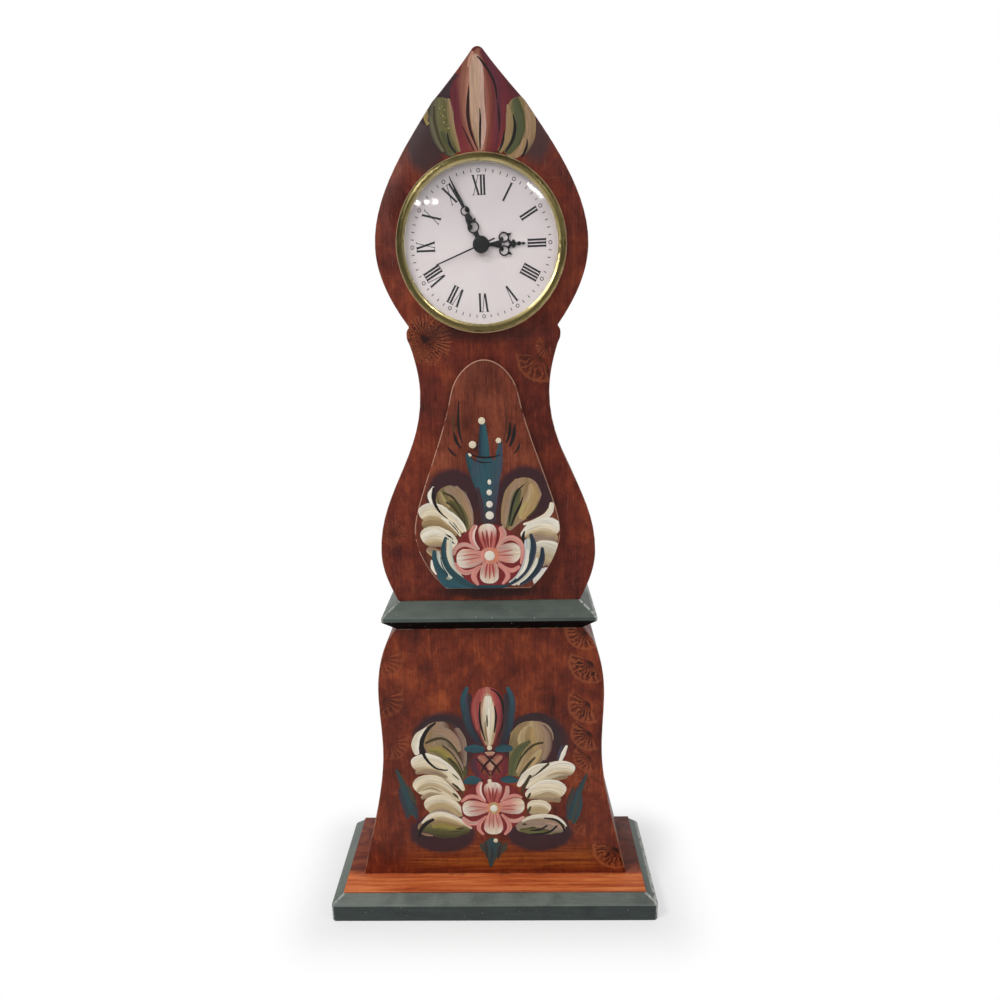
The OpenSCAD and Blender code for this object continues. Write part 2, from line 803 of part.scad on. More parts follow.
// Teeth as fractions of the pitch: thin, with a short tip, so that pairs run free
tooth_root = 0.25;
tooth_tip = 0.12;
tooth_out = 0.75;
tooth_in = 1;
tooth_corners = [
    [-tooth_root, -tooth_in], [-tooth_tip, tooth_out],
    [tooth_tip, tooth_out], [tooth_root, -tooth_in]
];
function gear_points(teeth, m) = [
    for (i = [0:teeth - 1])
        for (c = tooth_corners)
            polar(teeth * m / 2 + c[1] * m, (i + c[0]) * 360 / teeth)
];

// A wheel with a tooth, or with a gap where shift is a half, on the line towards its partner
module toothed(at, from, thick, teeth, m, aim, shift) {
    translate([at[0], at[1], from]) rotate(aim + shift * 360 / teeth) linear_extrude(thick)
        polygon(gear_points(teeth, m));
}

// A pinion a little thicker than its wheel, with a gap on the line towards it
module pinion(at, layer, teeth, m, aim) {
    toothed(at, layer - pinion_extra, wheel_t + 2 * pinion_extra, teeth, m, aim, 0.5);
}

// Round windows that lighten a wheel
module windows(at, from, thick, r, hole_r) {
    translate([at[0], at[1], from - 1])
        for (a = [0:72:288])
            rotate(a) translate([r, 0, 0]) cylinder(r = hole_r, h = thick + 2);
}

// An arbor between the two plates
module arbor(at, r) {
    ring(at, rear_plate_front - pivot_deep, plate_back + pivot_deep, r, 0);
}

module rotor() {
    magnet_from = stator_layer - magnet_sink;
    color("#4a4a50") insert_frame() {
        arbor(rotor_at, arbor_r);
        ring(rotor_at, magnet_from, magnet_from + magnet_t, magnet_r, 0);
        pinion(rotor_at, inter_layer, rotor_teeth, rotor_m, rotor_dir + 180);
    }
}

module intermediate_wheel() {
    color(gear_brass) insert_frame() {
        arbor(inter_at, arbor_r);
        difference() {
            toothed(inter_at, inter_layer, wheel_t, inter_teeth, rotor_m, rotor_dir, 0);
            windows(inter_at, inter_layer, wheel_t, 3.6, 1.4);
        }
        pinion(inter_at, second_layer, inter_pinion_teeth, inter_m, inter_dir + 180);
    }
}

module second_wheel() {
    color(gear_brass) insert_frame() {
        ring([0, 0], rear_plate_front - pivot_deep, cap_front - 0.3, arbor_r, 0);
        difference() {
            toothed([0, 0], second_layer, wheel_t, second_teeth, inter_m, inter_dir, 0);
            windows([0, 0], second_layer, wheel_t, 3.9, 1.5);
        }
        pinion([0, 0], third_layer, second_pinion_teeth, third_m, third_dir);
    }
}

module third_wheel() {
    color(gear_brass) insert_frame() {
        arbor(third_at, arbor_r);
        difference() {
            toothed(third_at, third_layer, wheel_t, third_teeth, third_m, third_dir + 180, 0);
            windows(third_at, third_layer, wheel_t, 4.2, 1.6);
        }
        pinion(third_at, centre_layer, third_pinion_teeth, centre_m, third_dir + 180);
    }
}

// Centre wheel on a tube that carries the cannon pinion by friction
module centre_wheel() {
    tube_back = third_layer + wheel_t + 0.5;
    color(gear_brass) insert_frame() difference() {
        union() {
            toothed([0, 0], centre_layer, wheel_t, centre_teeth, centre_m, third_dir, 0);
            ring([0, 0], tube_back, minute_front - 1.5, centre_tube_r, 0);
        }
        windows([0, 0], centre_layer, wheel_t, 4.3, 1.6);
        ring([0, 0], tube_back - 1, minute_front, centre_tube_in, 0);
    }
}

module cannon_pinion() {
    color(gear_brass) insert_frame() difference() {
        union() {
            pinion([0, 0], motion_layer, cannon_teeth, motion_m, motion_dir);
            ring([0, 0], motion_layer - pinion_extra, minute_front, cannon_r, 0);
        }
        ring([0, 0], motion_layer - 1, minute_front + 1, cannon_in, 0);
    }
}

module motion_wheel() {
    stack = hour_layer - motion_layer + wheel_t;
    color("#ded8c8") insert_frame() difference() {
        union() {
            toothed(motion_at, motion_layer, wheel_t, motion_teeth, motion_m, motion_dir + 180, 0);
            toothed(motion_at, motion_layer, stack, motion_pinion_teeth, hour_m, motion_dir + 180, 0.5);
        }
        ring(motion_at, motion_layer - 1, plate_back, arbor_r + run_gap, 0);
    }
}

module hour_wheel() {
    color("#ded8c8") insert_frame() difference() {
        union() {
            toothed([0, 0], hour_layer, wheel_t, hour_teeth, hour_m, motion_dir, 0);
            ring([0, 0], hour_layer, hour_front, hour_tube_r, 0);
        }
        windows([0, 0], hour_layer, wheel_t, 4, 1.3);
        ring([0, 0], hour_layer - 1, hour_front + 1, hour_tube_in, 0);
    }
}

module setting_arbor() {
    color("#ded8c8") insert_frame() {
        ring(setting_at, can_back - knob_gap - knob_t, plate_back + pivot_deep, setting_r, 0);
        pinion(setting_at, motion_layer, cannon_teeth, motion_m, setting_dir + 180);
    }
}

// Fluted setting knob behind the housing
module set_knob() {
    back = can_back - knob_gap - knob_t;
    color(plastic) insert_frame() difference() {
        ring(setting_at, back, back + knob_t, knob_r, setting_r);
        translate([setting_at[0], setting_at[1], back - 1])
            for (a = [0:30:330])
                rotate(a) translate([knob_r + 0.3, 0, 0]) cylinder(r = 0.7, h = knob_t + 2);
    }
}

// Clockwise turn from twelve, as a dial counts it
module pointing(angle, back) {
    insert_frame() translate([0, 0, back]) rotate(-angle) children();
}

module blade(points, thick) {
    linear_extrude(thick) polygon(points);
}

module bead(at, r) {
    translate(at) cylinder(r = r, h = hand_t);
}

// A tapered finger from one height through another to the tip, with a half width at each
module needle(low, mid, high, low_w, mid_w, high_w) {
    half = [[low_w, low], [mid_w, mid], [high_w, high]];
    blade(both(half), hand_t);
}

// A hoop whose window is a crescent round a curl that grows from one side
module scroll(at, r, band, curl_at, curl_r) {
    translate(at) difference() {
        cylinder(r = r, h = hand_t);
        difference() {
            translate([0, 0, -1]) cylinder(r = r - band, h = hand_t + 2);
            rotate(curl_at) translate([r - band - 0.5 * curl_r, 0, -2]) cylinder(r = curl_r, h = hand_t + 4);
        }
    }
}

module hour_hand() {
    color("#141414") pointing(hour_angle, hour_front - hand_t) difference() {
        union() {
            bead([0, 0], 3.4);
            blade(both([[1.1, 3], [0.8, 5.2], [1.3, 6.8], [1.7, 8.3], [1.95, 9.9], [0.9, 10.2]]), hand_t);
            for (side = [-1, 1])
                mirror([side < 0 ? 1 : 0, 0, 0]) {
                    scroll([3.1, 11.3], 2.6, 0.7, 235, 1);
                    blade([[3.4, 13.2], [4.9, 12.5], [5.1, 15.2], [3.9, 14.4]], hand_t);
                    blade([[1.7, 12.7], [2.6, 13.4], [0.8, 15.3], [-0.4, 14.9], [-0.2, 14.2]], hand_t);
                }
            blade(both([[0.5, 14.6], [1.9, 15.5], [2, 16.3], [0.5, 17.3]]), hand_t);
            bead([0, 18.7], 0.95);
            bead([0, 21], 0.62);
            needle(15, 19, hour_len, 0.5, 0.42, 0.12);
        }
        translate([0, 0, -1]) cylinder(r = hour_tube_r, h = hand_t + 2);
    }
}

module minute_hand() {
    color("#141414") pointing(minute_angle, minute_front - hand_t) difference() {
        union() {
            bead([0, 0], 3.1);
            blade([[-1, 2.5], [-1.2, 6.6], [1.4, 6.8], [1.1, 2.5]], hand_t);
            scroll([0.2, 8.9], 2.9, 0.65, 155, 1.3);
            blade([[0.9, 10.8], [2.3, 10.2], [3.1, 12.5], [1.6, 12.2]], hand_t);
            blade([[-2, 10.6], [1.4, 11.2], [1.8, 13.3], [1.1, 15.9], [-1.1, 15.9], [-1.9, 13.2]], hand_t);
            scroll([-0.1, 17.3], 2.3, 0.6, 5, 1.15);
            needle(18.9, 22.3, minute_len, 0.75, 0.9, 0.2);
        }
        translate([0, 0, -1]) cylinder(r = cannon_r, h = hand_t + 2);
    }
}

// Thin needle with a short tail under a round cap
module second_hand() {
    thin = hand_t * 0.6;
    color("#141414") difference() {
        union() {
            pointing(second_angle, second_front - thin)
                blade(both([[0.42, -second_tail], [0.3, second_len]]), thin);
            insert_frame() ring([0, 0], second_front - thin, cap_front, cap_r, 0);
        }
        insert_frame() ring([0, 0], second_front - 1, cap_front - 0.3, arbor_r, 0);
    }
}

base();
lower_front();
lower_side(-1);  // lower_side_left
lower_side(1);  // lower_side_right
lower_back();
ledge();
upper_front();
upper_side(-1);  // upper_side_left
upper_side(1);  // upper_side_right
upper_back();
waist_panel();
base_screws();
lower_back_screws();
upper_back_screws();
bezel();
lens();
lens_spacer();
dial();
can();
grip_ring();
front_plate();
rear_plate();
centre_bush();
bobbin();
coil();
stator();
circuit_board();
quartz();
contact(1);  // contact_plus
contact(-1);  // contact_minus
battery();
rotor();
intermediate_wheel();
second_wheel();
third_wheel();
centre_wheel();
cannon_pinion();
motion_wheel();
hour_wheel();
setting_arbor();
set_knob();
hour_hand();
minute_hand();
second_hand();
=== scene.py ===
"""A painted wooden table clock: its boards, brush work, clock insert and studio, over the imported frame."""

import json
import logging
import math
import sys
from contextlib import contextmanager
from dataclasses import dataclass, field
from enum import Enum
from functools import cached_property
from typing import Any, Iterator, Sequence

import bmesh
import bpy
import numpy as np
from mathutils import Matrix, Quaternion, Vector

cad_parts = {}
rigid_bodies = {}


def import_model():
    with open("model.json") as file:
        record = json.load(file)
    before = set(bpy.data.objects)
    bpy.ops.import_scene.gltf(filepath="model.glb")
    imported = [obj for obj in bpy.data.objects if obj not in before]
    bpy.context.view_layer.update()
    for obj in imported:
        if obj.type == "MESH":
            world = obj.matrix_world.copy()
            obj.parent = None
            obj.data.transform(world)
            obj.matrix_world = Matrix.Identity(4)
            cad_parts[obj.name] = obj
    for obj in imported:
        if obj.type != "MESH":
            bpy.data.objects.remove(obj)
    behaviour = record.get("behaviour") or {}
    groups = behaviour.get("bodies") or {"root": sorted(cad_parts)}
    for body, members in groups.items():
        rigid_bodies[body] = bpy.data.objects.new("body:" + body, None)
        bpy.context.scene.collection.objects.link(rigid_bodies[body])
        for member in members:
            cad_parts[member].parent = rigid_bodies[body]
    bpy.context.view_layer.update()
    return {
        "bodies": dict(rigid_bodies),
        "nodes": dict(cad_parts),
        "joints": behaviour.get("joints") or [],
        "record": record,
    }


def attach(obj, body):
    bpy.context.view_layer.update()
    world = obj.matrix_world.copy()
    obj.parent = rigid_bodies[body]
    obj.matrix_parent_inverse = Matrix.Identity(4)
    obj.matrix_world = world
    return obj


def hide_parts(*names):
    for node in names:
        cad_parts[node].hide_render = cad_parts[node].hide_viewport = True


LOG = logging.getLogger("table_clock")
MM = 0.001

# In millimetres: the height of the dial's middle, how far the first film of paint stands out, how much
# further each one above it does, and how deep a film's rim is sunk into the board
DIAL_Z = 382.55
FILM_BASE = 0.02
FILM_STEP = 0.012
FILM_SINK = 0.03

# How many colours a stroke has from its left to its right edge
SHADES = 5

Colour = tuple[float, float, float]


class Slot(Enum):
    """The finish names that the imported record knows."""

    STAINED_WOOD = "stained_wood"
    BARE_WOOD = "bare_wood"
    PAINTED_WOOD = "painted_wood"
    SCREW_STEEL = "screw_steel"
    BEZEL_BRASS = "bezel_brass"
    GLASS = "glass"
    DIAL_WHITE = "dial_white"
    HOUSING = "housing"
    GRIP_RUBBER = "grip_rubber"
    HAND_BLACK = "hand_black"


class Pigment(Enum):
    """The colours on the painter's board."""

    MAROON = "6c2630"
    WINE = "873234"
    RUST = "96604b"
    SALMON = "c3826e"
    PEACH = "cba68c"
    BLUSH = "d2aa9b"
    SOOT = "1f1819"
    INK = "2c1214"
    HALO = "38262a"
    OCHRE = "a59448"
    UMBER = "5a2d23"
    BRICK = "824132"
    CLAY = "a56455"
    PLUM = "5f2d3c"
    TAN = "a5875f"
    OLIVE = "6e6941"
    MOSS = "5a5530"
    DUSK = "4b4128"
    SAGE = "6e6950"
    STRAW = "beaf73"
    FERN = "555a3c"
    FAWN = "af8c6e"
    HONEY = "c3a069"
    CREAM = "f6e6c8"
    IVORY = "fcf3e2"
    SAND = "c8ae82"
    SHADE = "a58c78"
    STONE = "d7cdb4"
    PINK = "e4968c"
    ROSE = "b95550"
    RED = "822a2a"
    CORAL = "e19687"
    GLOW = "e18c69"
    TEAL = "325a64"
    DEEP = "2d4b52"
    NAVY = "233241"
    SLATE = "4b4b5a"
    GRAPE = "463238"
    LEAFAGE = "48463a"
    MIST = "d2d7c8"
    LILAC = "cfccd4"


def linear(code: str) -> Colour:
    """Turns a six-digit colour into Blender's own values.

    Args:
        code: red, green and blue as three pairs of hexadecimal digits.

    Returns:
        The same colour as three linear numbers.
    """
    shares = [int(code[i:i + 2], 16) / 255 for i in (0, 2, 4)]
    return tuple(s / 12.92 if s <= 0.04045 else ((s + 0.055) / 1.055) ** 2.4 for s in shares)


def rgba(code: str) -> tuple[float, float, float, float]:
    """A six-digit colour as the four numbers a colour socket takes."""
    return (*linear(code), 1.0)


# Making and shaping pieces


def only(piece: bpy.types.Object) -> bpy.types.Object:
    """Leaves one object selected and active.

    Args:
        piece: the object that the next operators work on.

    Returns:
        The same object.
    """
    bpy.ops.object.select_all(action="DESELECT")
    piece.select_set(True)
    bpy.context.view_layer.objects.active = piece
    return piece


@contextmanager
def editing(piece: bpy.types.Object, select: str = "SELECT") -> Iterator[None]:
    """Opens one piece in edit mode, with all of it or, by DESELECT, none of it selected."""
    only(piece)
    bpy.ops.object.mode_set(mode="EDIT")
    bpy.ops.mesh.select_all(action=select)
    yield
    bpy.ops.object.mode_set(mode="OBJECT")


def started(name: str) -> bpy.types.Object:
    """Names the primitive that was just added.

    Args:
        name: the piece's name.

    Returns:
        The new object.
    """
    piece = bpy.context.active_object
    piece.name = name
    piece.data.name = name
    return piece


def settle(piece: bpy.types.Object) -> bpy.types.Object:
    """Moves a piece's place, turn and size into its mesh, so that its object sits at the origin."""
    piece.data.transform(piece.matrix_world)
    piece.matrix_world = Matrix.Identity(4)
    return piece


def apply_all(piece: bpy.types.Object) -> bpy.types.Object:
    """Applies every modifier of a piece, in order."""
    only(piece)
    for modifier in list(piece.modifiers):
        bpy.ops.object.modifier_apply(modifier=modifier.name)
    return piece


def twin(piece: bpy.types.Object, name: str) -> bpy.types.Object:
    """Copies a piece together with its mesh.

    Args:
        piece: what is copied.
        name: the copy's name.

    Returns:
        The copy, in the scene.
    """
    copy = bpy.data.objects.new(name, piece.data.copy())
    bpy.context.scene.collection.objects.link(copy)
    return copy


def joined(pieces: Sequence[bpy.types.Object], name: str) -> bpy.types.Object:
    """Joins pieces into one.

    Args:
        pieces: one or more mesh objects.
        name: the name of the result.

    Returns:
        The joined object.
    """
    only(pieces[0])
    for piece in pieces:
        piece.select_set(True)
    bpy.ops.object.join()
    return started(name)


def eased_copy(source: bpy.types.Object, name: str, ease: float = 0.0,
               turn: float = 35.0) -> bpy.types.Object:
    """Copies a frame node, merges its triangles and eases its sharp edges.

    Args:
        source: the frame's object.
        name: the new piece's name.
        ease: width of the eased edge in millimetres, 0 for none.
        turn: edges sharper than this many degrees are eased.

    Returns:
        The new piece.
    """
    piece = twin(source, name)
    with editing(piece):
        bpy.ops.mesh.remove_doubles(threshold=2e-6)
        bpy.ops.mesh.dissolve_limited(angle_limit=math.radians(0.4))
    if ease > 0:
        bevel = piece.modifiers.new("eased edges", "BEVEL")
        bevel.width = ease * MM
        bevel.segments = 3
        bevel.limit_method = "ANGLE"
        bevel.angle_limit = math.radians(turn)
        bevel.harden_normals = False
        apply_all(piece)
    only(piece)
    bpy.ops.object.shade_smooth_by_angle(angle=math.radians(32))
    return piece


def coat(piece: bpy.types.Object, material: bpy.types.Material) -> bpy.types.Object:
    """Gives a whole piece one material."""
    piece.data.materials.clear()
    piece.data.materials.append(material)
    return piece


def seat(piece: bpy.types.Object, body: str, slot: Slot, *nodes: str) -> bpy.types.Object:
    """Puts a finished piece on its body and hides the frame nodes that it replaces.

    Args:
        piece: the finished piece.
        body: the body that it rides on.
        slot: the record's finish; not used.
        nodes: the frame nodes that it replaces, if any.

    Returns:
        The same piece.
    """
    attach(piece, body)
    if nodes:
        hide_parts(*nodes)
    LOG.info("%s: %d faces", piece.name, len(piece.data.polygons))
    return piece


# Writing materials


class Signal:
    """A number, vector, colour or shader inside a material, which can be reckoned with."""

    def __init__(self, sheet: "ShaderSheet", socket: bpy.types.NodeSocket) -> None:
        """Notes the material and the socket that the value comes from."""
        self.sheet = sheet
        self.socket = socket

    def __add__(self, other: Any) -> "Signal":
        """The sum with another number."""
        return self.sheet.math("ADD", self, other)

    def __sub__(self, other: Any) -> "Signal":
        """What is left when another number is taken away."""
        return self.sheet.math("SUBTRACT", self, other)

    def __rsub__(self, other: float) -> "Signal":
        """What is left when this is taken away from a plain number."""
        return self.sheet.math("SUBTRACT", other, self)

    def __mul__(self, other: Any) -> "Signal":
        """The product with another number."""
        return self.sheet.math("MULTIPLY", self, other)

    def __truediv__(self, other: Any) -> "Signal":
        """This number divided by another one."""
        return self.sheet.math("DIVIDE", self, other)

    def __abs__(self) -> "Signal":
        """The number without its sign."""
        return self.sheet.math("ABSOLUTE", self)

    def larger(self, other: Any) -> "Signal":
        """This number or another one, whichever is larger."""
        return self.sheet.math("MAXIMUM", self, other)

    def ease(self, low: float, high: float, start: float = 0.0, stop: float = 1.0) -> "Signal":
        """Goes smoothly from start to stop while this number goes from low to high."""
        node = self.sheet.add("ShaderNodeMapRange", interpolation_type="SMOOTHSTEP")
        return self.sheet.wired(node, (self, low, high, start, stop))


class ShaderSheet:
    """A material, or a world, whose nodes are added and wired one after another."""

    def __init__(self, owner: bpy.types.Material | bpy.types.World) -> None:
        """Clears the nodes of a material or a world and gives it an empty output."""
        self.owner = owner
        owner.use_nodes = True
        self.tree = owner.node_tree
        self.tree.nodes.clear()
        self.end = self.add(f"ShaderNodeOutput{owner.bl_rna.identifier}")

    def add(self, kind: str, **settings: Any) -> bpy.types.Node:
        """Adds one node with its settings."""
        node = self.tree.nodes.new(kind)
        for key, value in settings.items():
            setattr(node, key, value)
        return node

    def feed(self, socket: bpy.types.NodeSocket, value: Any) -> None:
        """Wires a socket, or sets its number, or its colour from six hexadecimal digits."""
        if isinstance(value, Signal):
            self.tree.links.new(value.socket, socket)
        else:
            socket.default_value = rgba(value) if isinstance(value, str) else value

    def wired(self, node: bpy.types.Node, values: Any, output: Any = 0) -> Signal:
        """Feeds a node's inputs, in order or by name or number, and gives one of its outputs."""
        pairs = values.items() if isinstance(values, dict) else enumerate(values)
        for key, value in pairs:
            self.feed(node.inputs[key], value)
        return Signal(self, node.outputs[output])

    def read(self, kind: str, output: Any = 0, **settings: Any) -> Signal:
        """An output of a new node that needs no inputs."""
        return self.wired(self.add(kind, **settings), (), output)

    def math(self, operation: str, *numbers: Any) -> Signal:
        """One arithmetic step."""
        return self.wired(self.add("ShaderNodeMath", operation=operation), numbers)

    @cached_property
    def spot(self) -> Signal:
        """The place on the object in millimetres."""
        return self.stretch(self.read("ShaderNodeTexCoord", "Object"), (1000, 1000, 1000))

    @cached_property
    def xyz(self) -> tuple[Signal, Signal, Signal]:
        """The place's three parts."""
        return self.split(self.spot)

    def stretch(self, vector: Signal, factors: Sequence[float]) -> Signal:
        """Multiplies a vector, so that a pattern becomes longer or finer along each axis."""
        return self.wired(self.add("ShaderNodeVectorMath", operation="MULTIPLY"), (vector, factors))

    def split(self, vector: Signal) -> tuple[Signal, Signal, Signal]:
        """The three parts of a vector."""
        node = self.add("ShaderNodeSeparateXYZ")
        self.feed(node.inputs[0], vector)
        return tuple(Signal(self, part) for part in node.outputs)

    def distance(self, across: Signal, up: Signal) -> Signal:
        """The length of a step across and up."""
        return self.math("SQRT", across * across + up * up)

    def noise(self, factors: float | Sequence[float], detail: float = 3.0, roughness: float = 0.55,
              twist: float = 0.0, vector: Signal | None = None) -> Signal:
        """Smooth noise from about 0.3 to 0.7, with the same or its own stretch along each axis."""
        if isinstance(factors, float):
            factors = (factors, factors, factors)
        return self.wired(self.add("ShaderNodeTexNoise"), {
            "Vector": self.stretch(vector or self.spot, factors), "Scale": 1.0, "Detail": detail,
            "Roughness": roughness, "Distortion": twist})

    def blend(self, share: Any, first: Any, second: Any, mode: str = "MIX") -> Signal:
        """Mixes two colours."""
        node = self.add("ShaderNodeMix", data_type="RGBA", blend_type=mode)
        return self.wired(node, {0: share, 6: first, 7: second}, 2)

    def dimmed(self, colour: Signal, factor: Signal) -> Signal:
        """Multiplies a colour by a number."""
        grey = self.wired(self.add("ShaderNodeCombineXYZ"), (factor, factor, factor))
        return self.blend(1.0, colour, grey, "MULTIPLY")

    def ramp(self, value: Signal, *stops: tuple[float, str]) -> Signal:
        """A row of colours that a number picks from."""
        node = self.add("ShaderNodeValToRGB")
        elements = node.color_ramp.elements
        while len(elements) < len(stops):
            elements.new(0.5)
        for element, (place, code) in zip(elements, stops):
            element.position = place
            element.color = rgba(code)
        return self.wired(node, (value,))

    def facing(self) -> tuple[Signal, Signal, Signal]:
        """The three parts of the direction that the surface faces."""
        return self.split(self.read("ShaderNodeNewGeometry", "Normal"))

    def edge(self, radius: float, low: float, high: float) -> Signal:
        """1 along sharp outer edges and 0 on flats, radius in millimetres."""
        rounded = self.wired(self.add("ShaderNodeBevel", samples=6), {"Radius": radius * MM})
        plain = self.read("ShaderNodeNewGeometry", "Normal")
        both = self.add("ShaderNodeVectorMath", operation="DOT_PRODUCT")
        likeness = self.wired(both, (rounded, plain), "Value")
        return (1.0 - likeness).ease(low, high)

    def rim(self) -> Signal:
        """1 on the eased edges between the front and the sides of a board."""
        slant = abs(self.facing()[1])
        return slant.ease(0.2, 0.5) * slant.ease(0.985, 0.93)

    def relief(self, height: Signal, depth: float, strength: float) -> Signal:
        """A bumped normal, with the depth in millimetres."""
        return self.wired(self.add("ShaderNodeBump"), {
            "Strength": strength, "Distance": depth * MM, "Height": height})

    def surface(self, **values: Any) -> Signal:
        """The main shader, with underscores for spaces in its inputs' names."""
        named = {key.replace("_", " "): value for key, value in values.items()}
        return self.wired(self.add("ShaderNodeBsdfPrincipled"), named)

    def mixed(self, share: Signal, first: Signal, second: Signal) -> Signal:
        """Mixes two shaders."""
        return self.wired(self.add("ShaderNodeMixShader"), (share, first, second))

    def close(self, shader: Signal) -> bpy.types.ID:
        """Wires the shader to the output and gives the finished material or world."""
        self.feed(self.end.inputs["Surface"], shader)
        return self.owner


@dataclass(frozen=True)
class Finish:
    """How a surface looks."""

    name: str

    def make(self) -> bpy.types.Material:
        """Writes the material.

        Returns:
            The finished material.
        """
        sheet = ShaderSheet(bpy.data.materials.new(self.name))
        return sheet.close(self.write(sheet))

    def write(self, sheet: ShaderSheet) -> Signal:
        """Writes the nodes and gives the shader."""
        raise NotImplementedError


@dataclass(frozen=True)
class DarkOval:
    """A soft dark oval over the stain: mostly a dark wash that the painter rubbed on under a leaf, and on the
    upper board also painted shadows below the bezel and below the waist panel.

    X, z, across and up are in millimetres. Soft is the share of its radius over which it fades.
    """

    x: float
    z: float
    across: float
    up: float
    code: str = "3a262c"
    strength: float = 0.92
    soft: float = 0.12


@dataclass(frozen=True)
class Fan:
    """A comb mark in the wet stain: dark veins that spread from a point to a pale shell edge.

    X, z and reach are in millimetres, heading and spread to each side of it in degrees. Wild is how ragged
    the mark is, and rim how pale its edge.
    """

    x: float
    z: float
    reach: float
    heading: float = 0.0
    spread: float = 180.0
    veins: float = 9.0
    strength: float = 0.8
    rim: float = 0.5
    wild: float = 0.2


@dataclass(frozen=True)
class StainFinish(Finish):
    """Pine with a red-brown stain, wiped unevenly, under a satin lacquer.

    Grain is the stretch of the pattern along each axis, and streaks how much of it shows. Wear is how pale
    the eased front edges get, partly real wear and partly a painted highlight along the edge, and a higher
    wear_from makes the pale places rarer.
    """

    dark: str = "461a12"
    middle: str = "742e1c"
    bright: str = "a44e2a"
    grain: tuple[float, float, float] = (1.0, 1.0, 0.03)
    streaks: float = 0.26
    halos: tuple[DarkOval, ...] = ()
    fans: tuple[Fan, ...] = ()
    gold: tuple[float, ...] = ()
    worn: str = "b98f78"
    wear: float = 0.45
    wear_from: float = 0.5

    def write(self, sheet: ShaderSheet) -> Signal:
        """Stains the wood, draws the comb marks and the dark ovals (washes, and some painted shadows) over
        it, and pales its edge rim as wear and painted highlight.
        """
        colour, streak = self.stain(sheet)
        for fan in self.fans:
            colour = self.combed(sheet, fan, colour)
        for halo in self.halos:
            colour = self.rubbed(sheet, halo, colour)
        # Pale rim on the eased front edges: partly real wear, partly a painted highlight along the edge.
        bare = sheet.noise(0.12, 4.0, 0.7).ease(self.wear_from - 0.05, self.wear_from + 0.05, 0.0, self.wear)
        colour = sheet.blend(sheet.rim() * bare, colour, self.worn)
        gloss = sheet.noise(0.05, 2.0).ease(0.3, 0.7, 0.34, 0.48)
        return sheet.surface(Base_Color=colour, Roughness=gloss, Specular_IOR_Level=0.16,
                             Normal=sheet.relief(streak, 0.06, 0.4))

    def stain(self, sheet: ShaderSheet) -> tuple[Signal, Signal]:
        """The stain's own colour.

        Args:
            sheet: the material being written.

        Returns:
            The colour, and the height of the grain.
        """
        clouds = sheet.noise((0.06, 0.06, 0.042), 5.0, 0.6, 0.3)
        bands = sheet.noise([0.26 * a for a in self.grain], 3.0, 0.6, 1.4)
        dabs = sheet.noise((0.17, 0.17, 0.1), 4.0, 0.65, 1.0)
        streak = sheet.noise([1.7 * a for a in self.grain], 5.0, 0.65, 0.3)
        fibre = sheet.noise([6.0 * a for a in self.grain], 3.0, 0.7)
        tone = clouds * 0.55 + bands * 0.2 + dabs * 0.25 + (streak - 0.5) * self.streaks
        colour = sheet.ramp(tone, (0.35, self.dark), (0.5, self.middle), (0.66, self.bright))
        if self.gold:
            colour = self.gilded(sheet, colour)
        scratches = sheet.noise((2.6, 2.6, 0.09), 4.0, 0.6).ease(0.63, 0.7, 0.0, 0.3)
        colour = sheet.blend(scratches, colour, "b2755c")
        cross = sheet.noise((0.07, 1.6, 1.9), 4.0, 0.6, 0.4).ease(0.62, 0.72, 0.0, 0.22)
        colour = sheet.blend(cross, colour, "a9624a")
        lift = fibre.ease(0.35, 0.68, 0.93, 1.09)
        shadow = sheet.noise((0.2, 0.2, 0.15), 5.0, 0.72, 1.2).ease(0.38, 0.54, 0.82, 1.02)
        return sheet.dimmed(colour, lift * shadow), streak

    def gilded(self, sheet: ShaderSheet, colour: Signal) -> Signal:
        """Golden streaks where the stain was wiped thin, inside the box x, x, z, z of the gold field."""
        x, _, z = sheet.xyz
        left, right, low, high = self.gold
        inside = (x.ease(left - 16, left + 10) * x.ease(right + 14, right - 10)
                  * z.ease(high + 6, high - 8) * z.ease(low - 1, low + 4))
        lines = sheet.noise((0.022, 0.5, 0.75), 4.0, 0.6, 0.4)
        golden = sheet.ramp(lines, (0.36, "6e2c16"), (0.5, "96481f"), (0.64, "b4662c"))
        return sheet.blend(inside * 0.8, colour, golden)

    def combed(self, sheet: ShaderSheet, fan: Fan, colour: Signal) -> Signal:
        """Draws one comb mark over the stain.

        Args:
            sheet: the material being written.
            fan: the comb mark.
            colour: the colour below it.

        Returns:
            The colour with the mark.
        """
        x, _, z = sheet.xyz
        stray = sheet.noise(0.35, 2.0)
        fine = sheet.noise(1.3, 3.0, 0.7)
        push = (stray - 0.5) * (fan.wild * fan.reach)
        right = x - fan.x + push
        up = z - fan.z - push
        share = sheet.distance(right, up) / fan.reach
        angle = sheet.math("ARCTAN2", up, right)
        inside = 1.0
        if fan.spread < 180:
            off = angle - math.radians(fan.heading)
            off = sheet.math("ARCTAN2", sheet.math("SINE", off), sheet.math("COSINE", off))
            limit = math.radians(fan.spread)
            inside = abs(off).ease(limit, limit * 0.75)
        wave = sheet.math("SINE", angle * (fan.veins * 2.5) + stray * (32.0 * fan.wild) + fine * 6.0)
        vein = wave.ease(0.05, 0.75) * share.ease(1.02, 0.6) * fine.ease(0.34, 0.5, 0.4, 1.0)
        vein = vein.larger((fine * 0.2 + share).ease(0.42, 0.2))
        ridge = wave.ease(0.0, -0.8) * share.ease(0.25, 0.6)
        border = abs(share - 0.98).ease(0.1, 0.0) * fine.ease(0.4, 0.56, 0.25, fan.rim)
        light = (ridge * 0.45).larger(border) * inside * share.ease(1.1, 1.0)
        bed = share.ease(1.1, 0.8) * inside
        glow = sheet.blend(bed * (0.45 * fan.strength), colour, "7e3820")
        glow = sheet.blend(light * fan.strength, glow, "b96a42")
        return sheet.blend(vein * inside * fan.strength, glow, "260e0a")

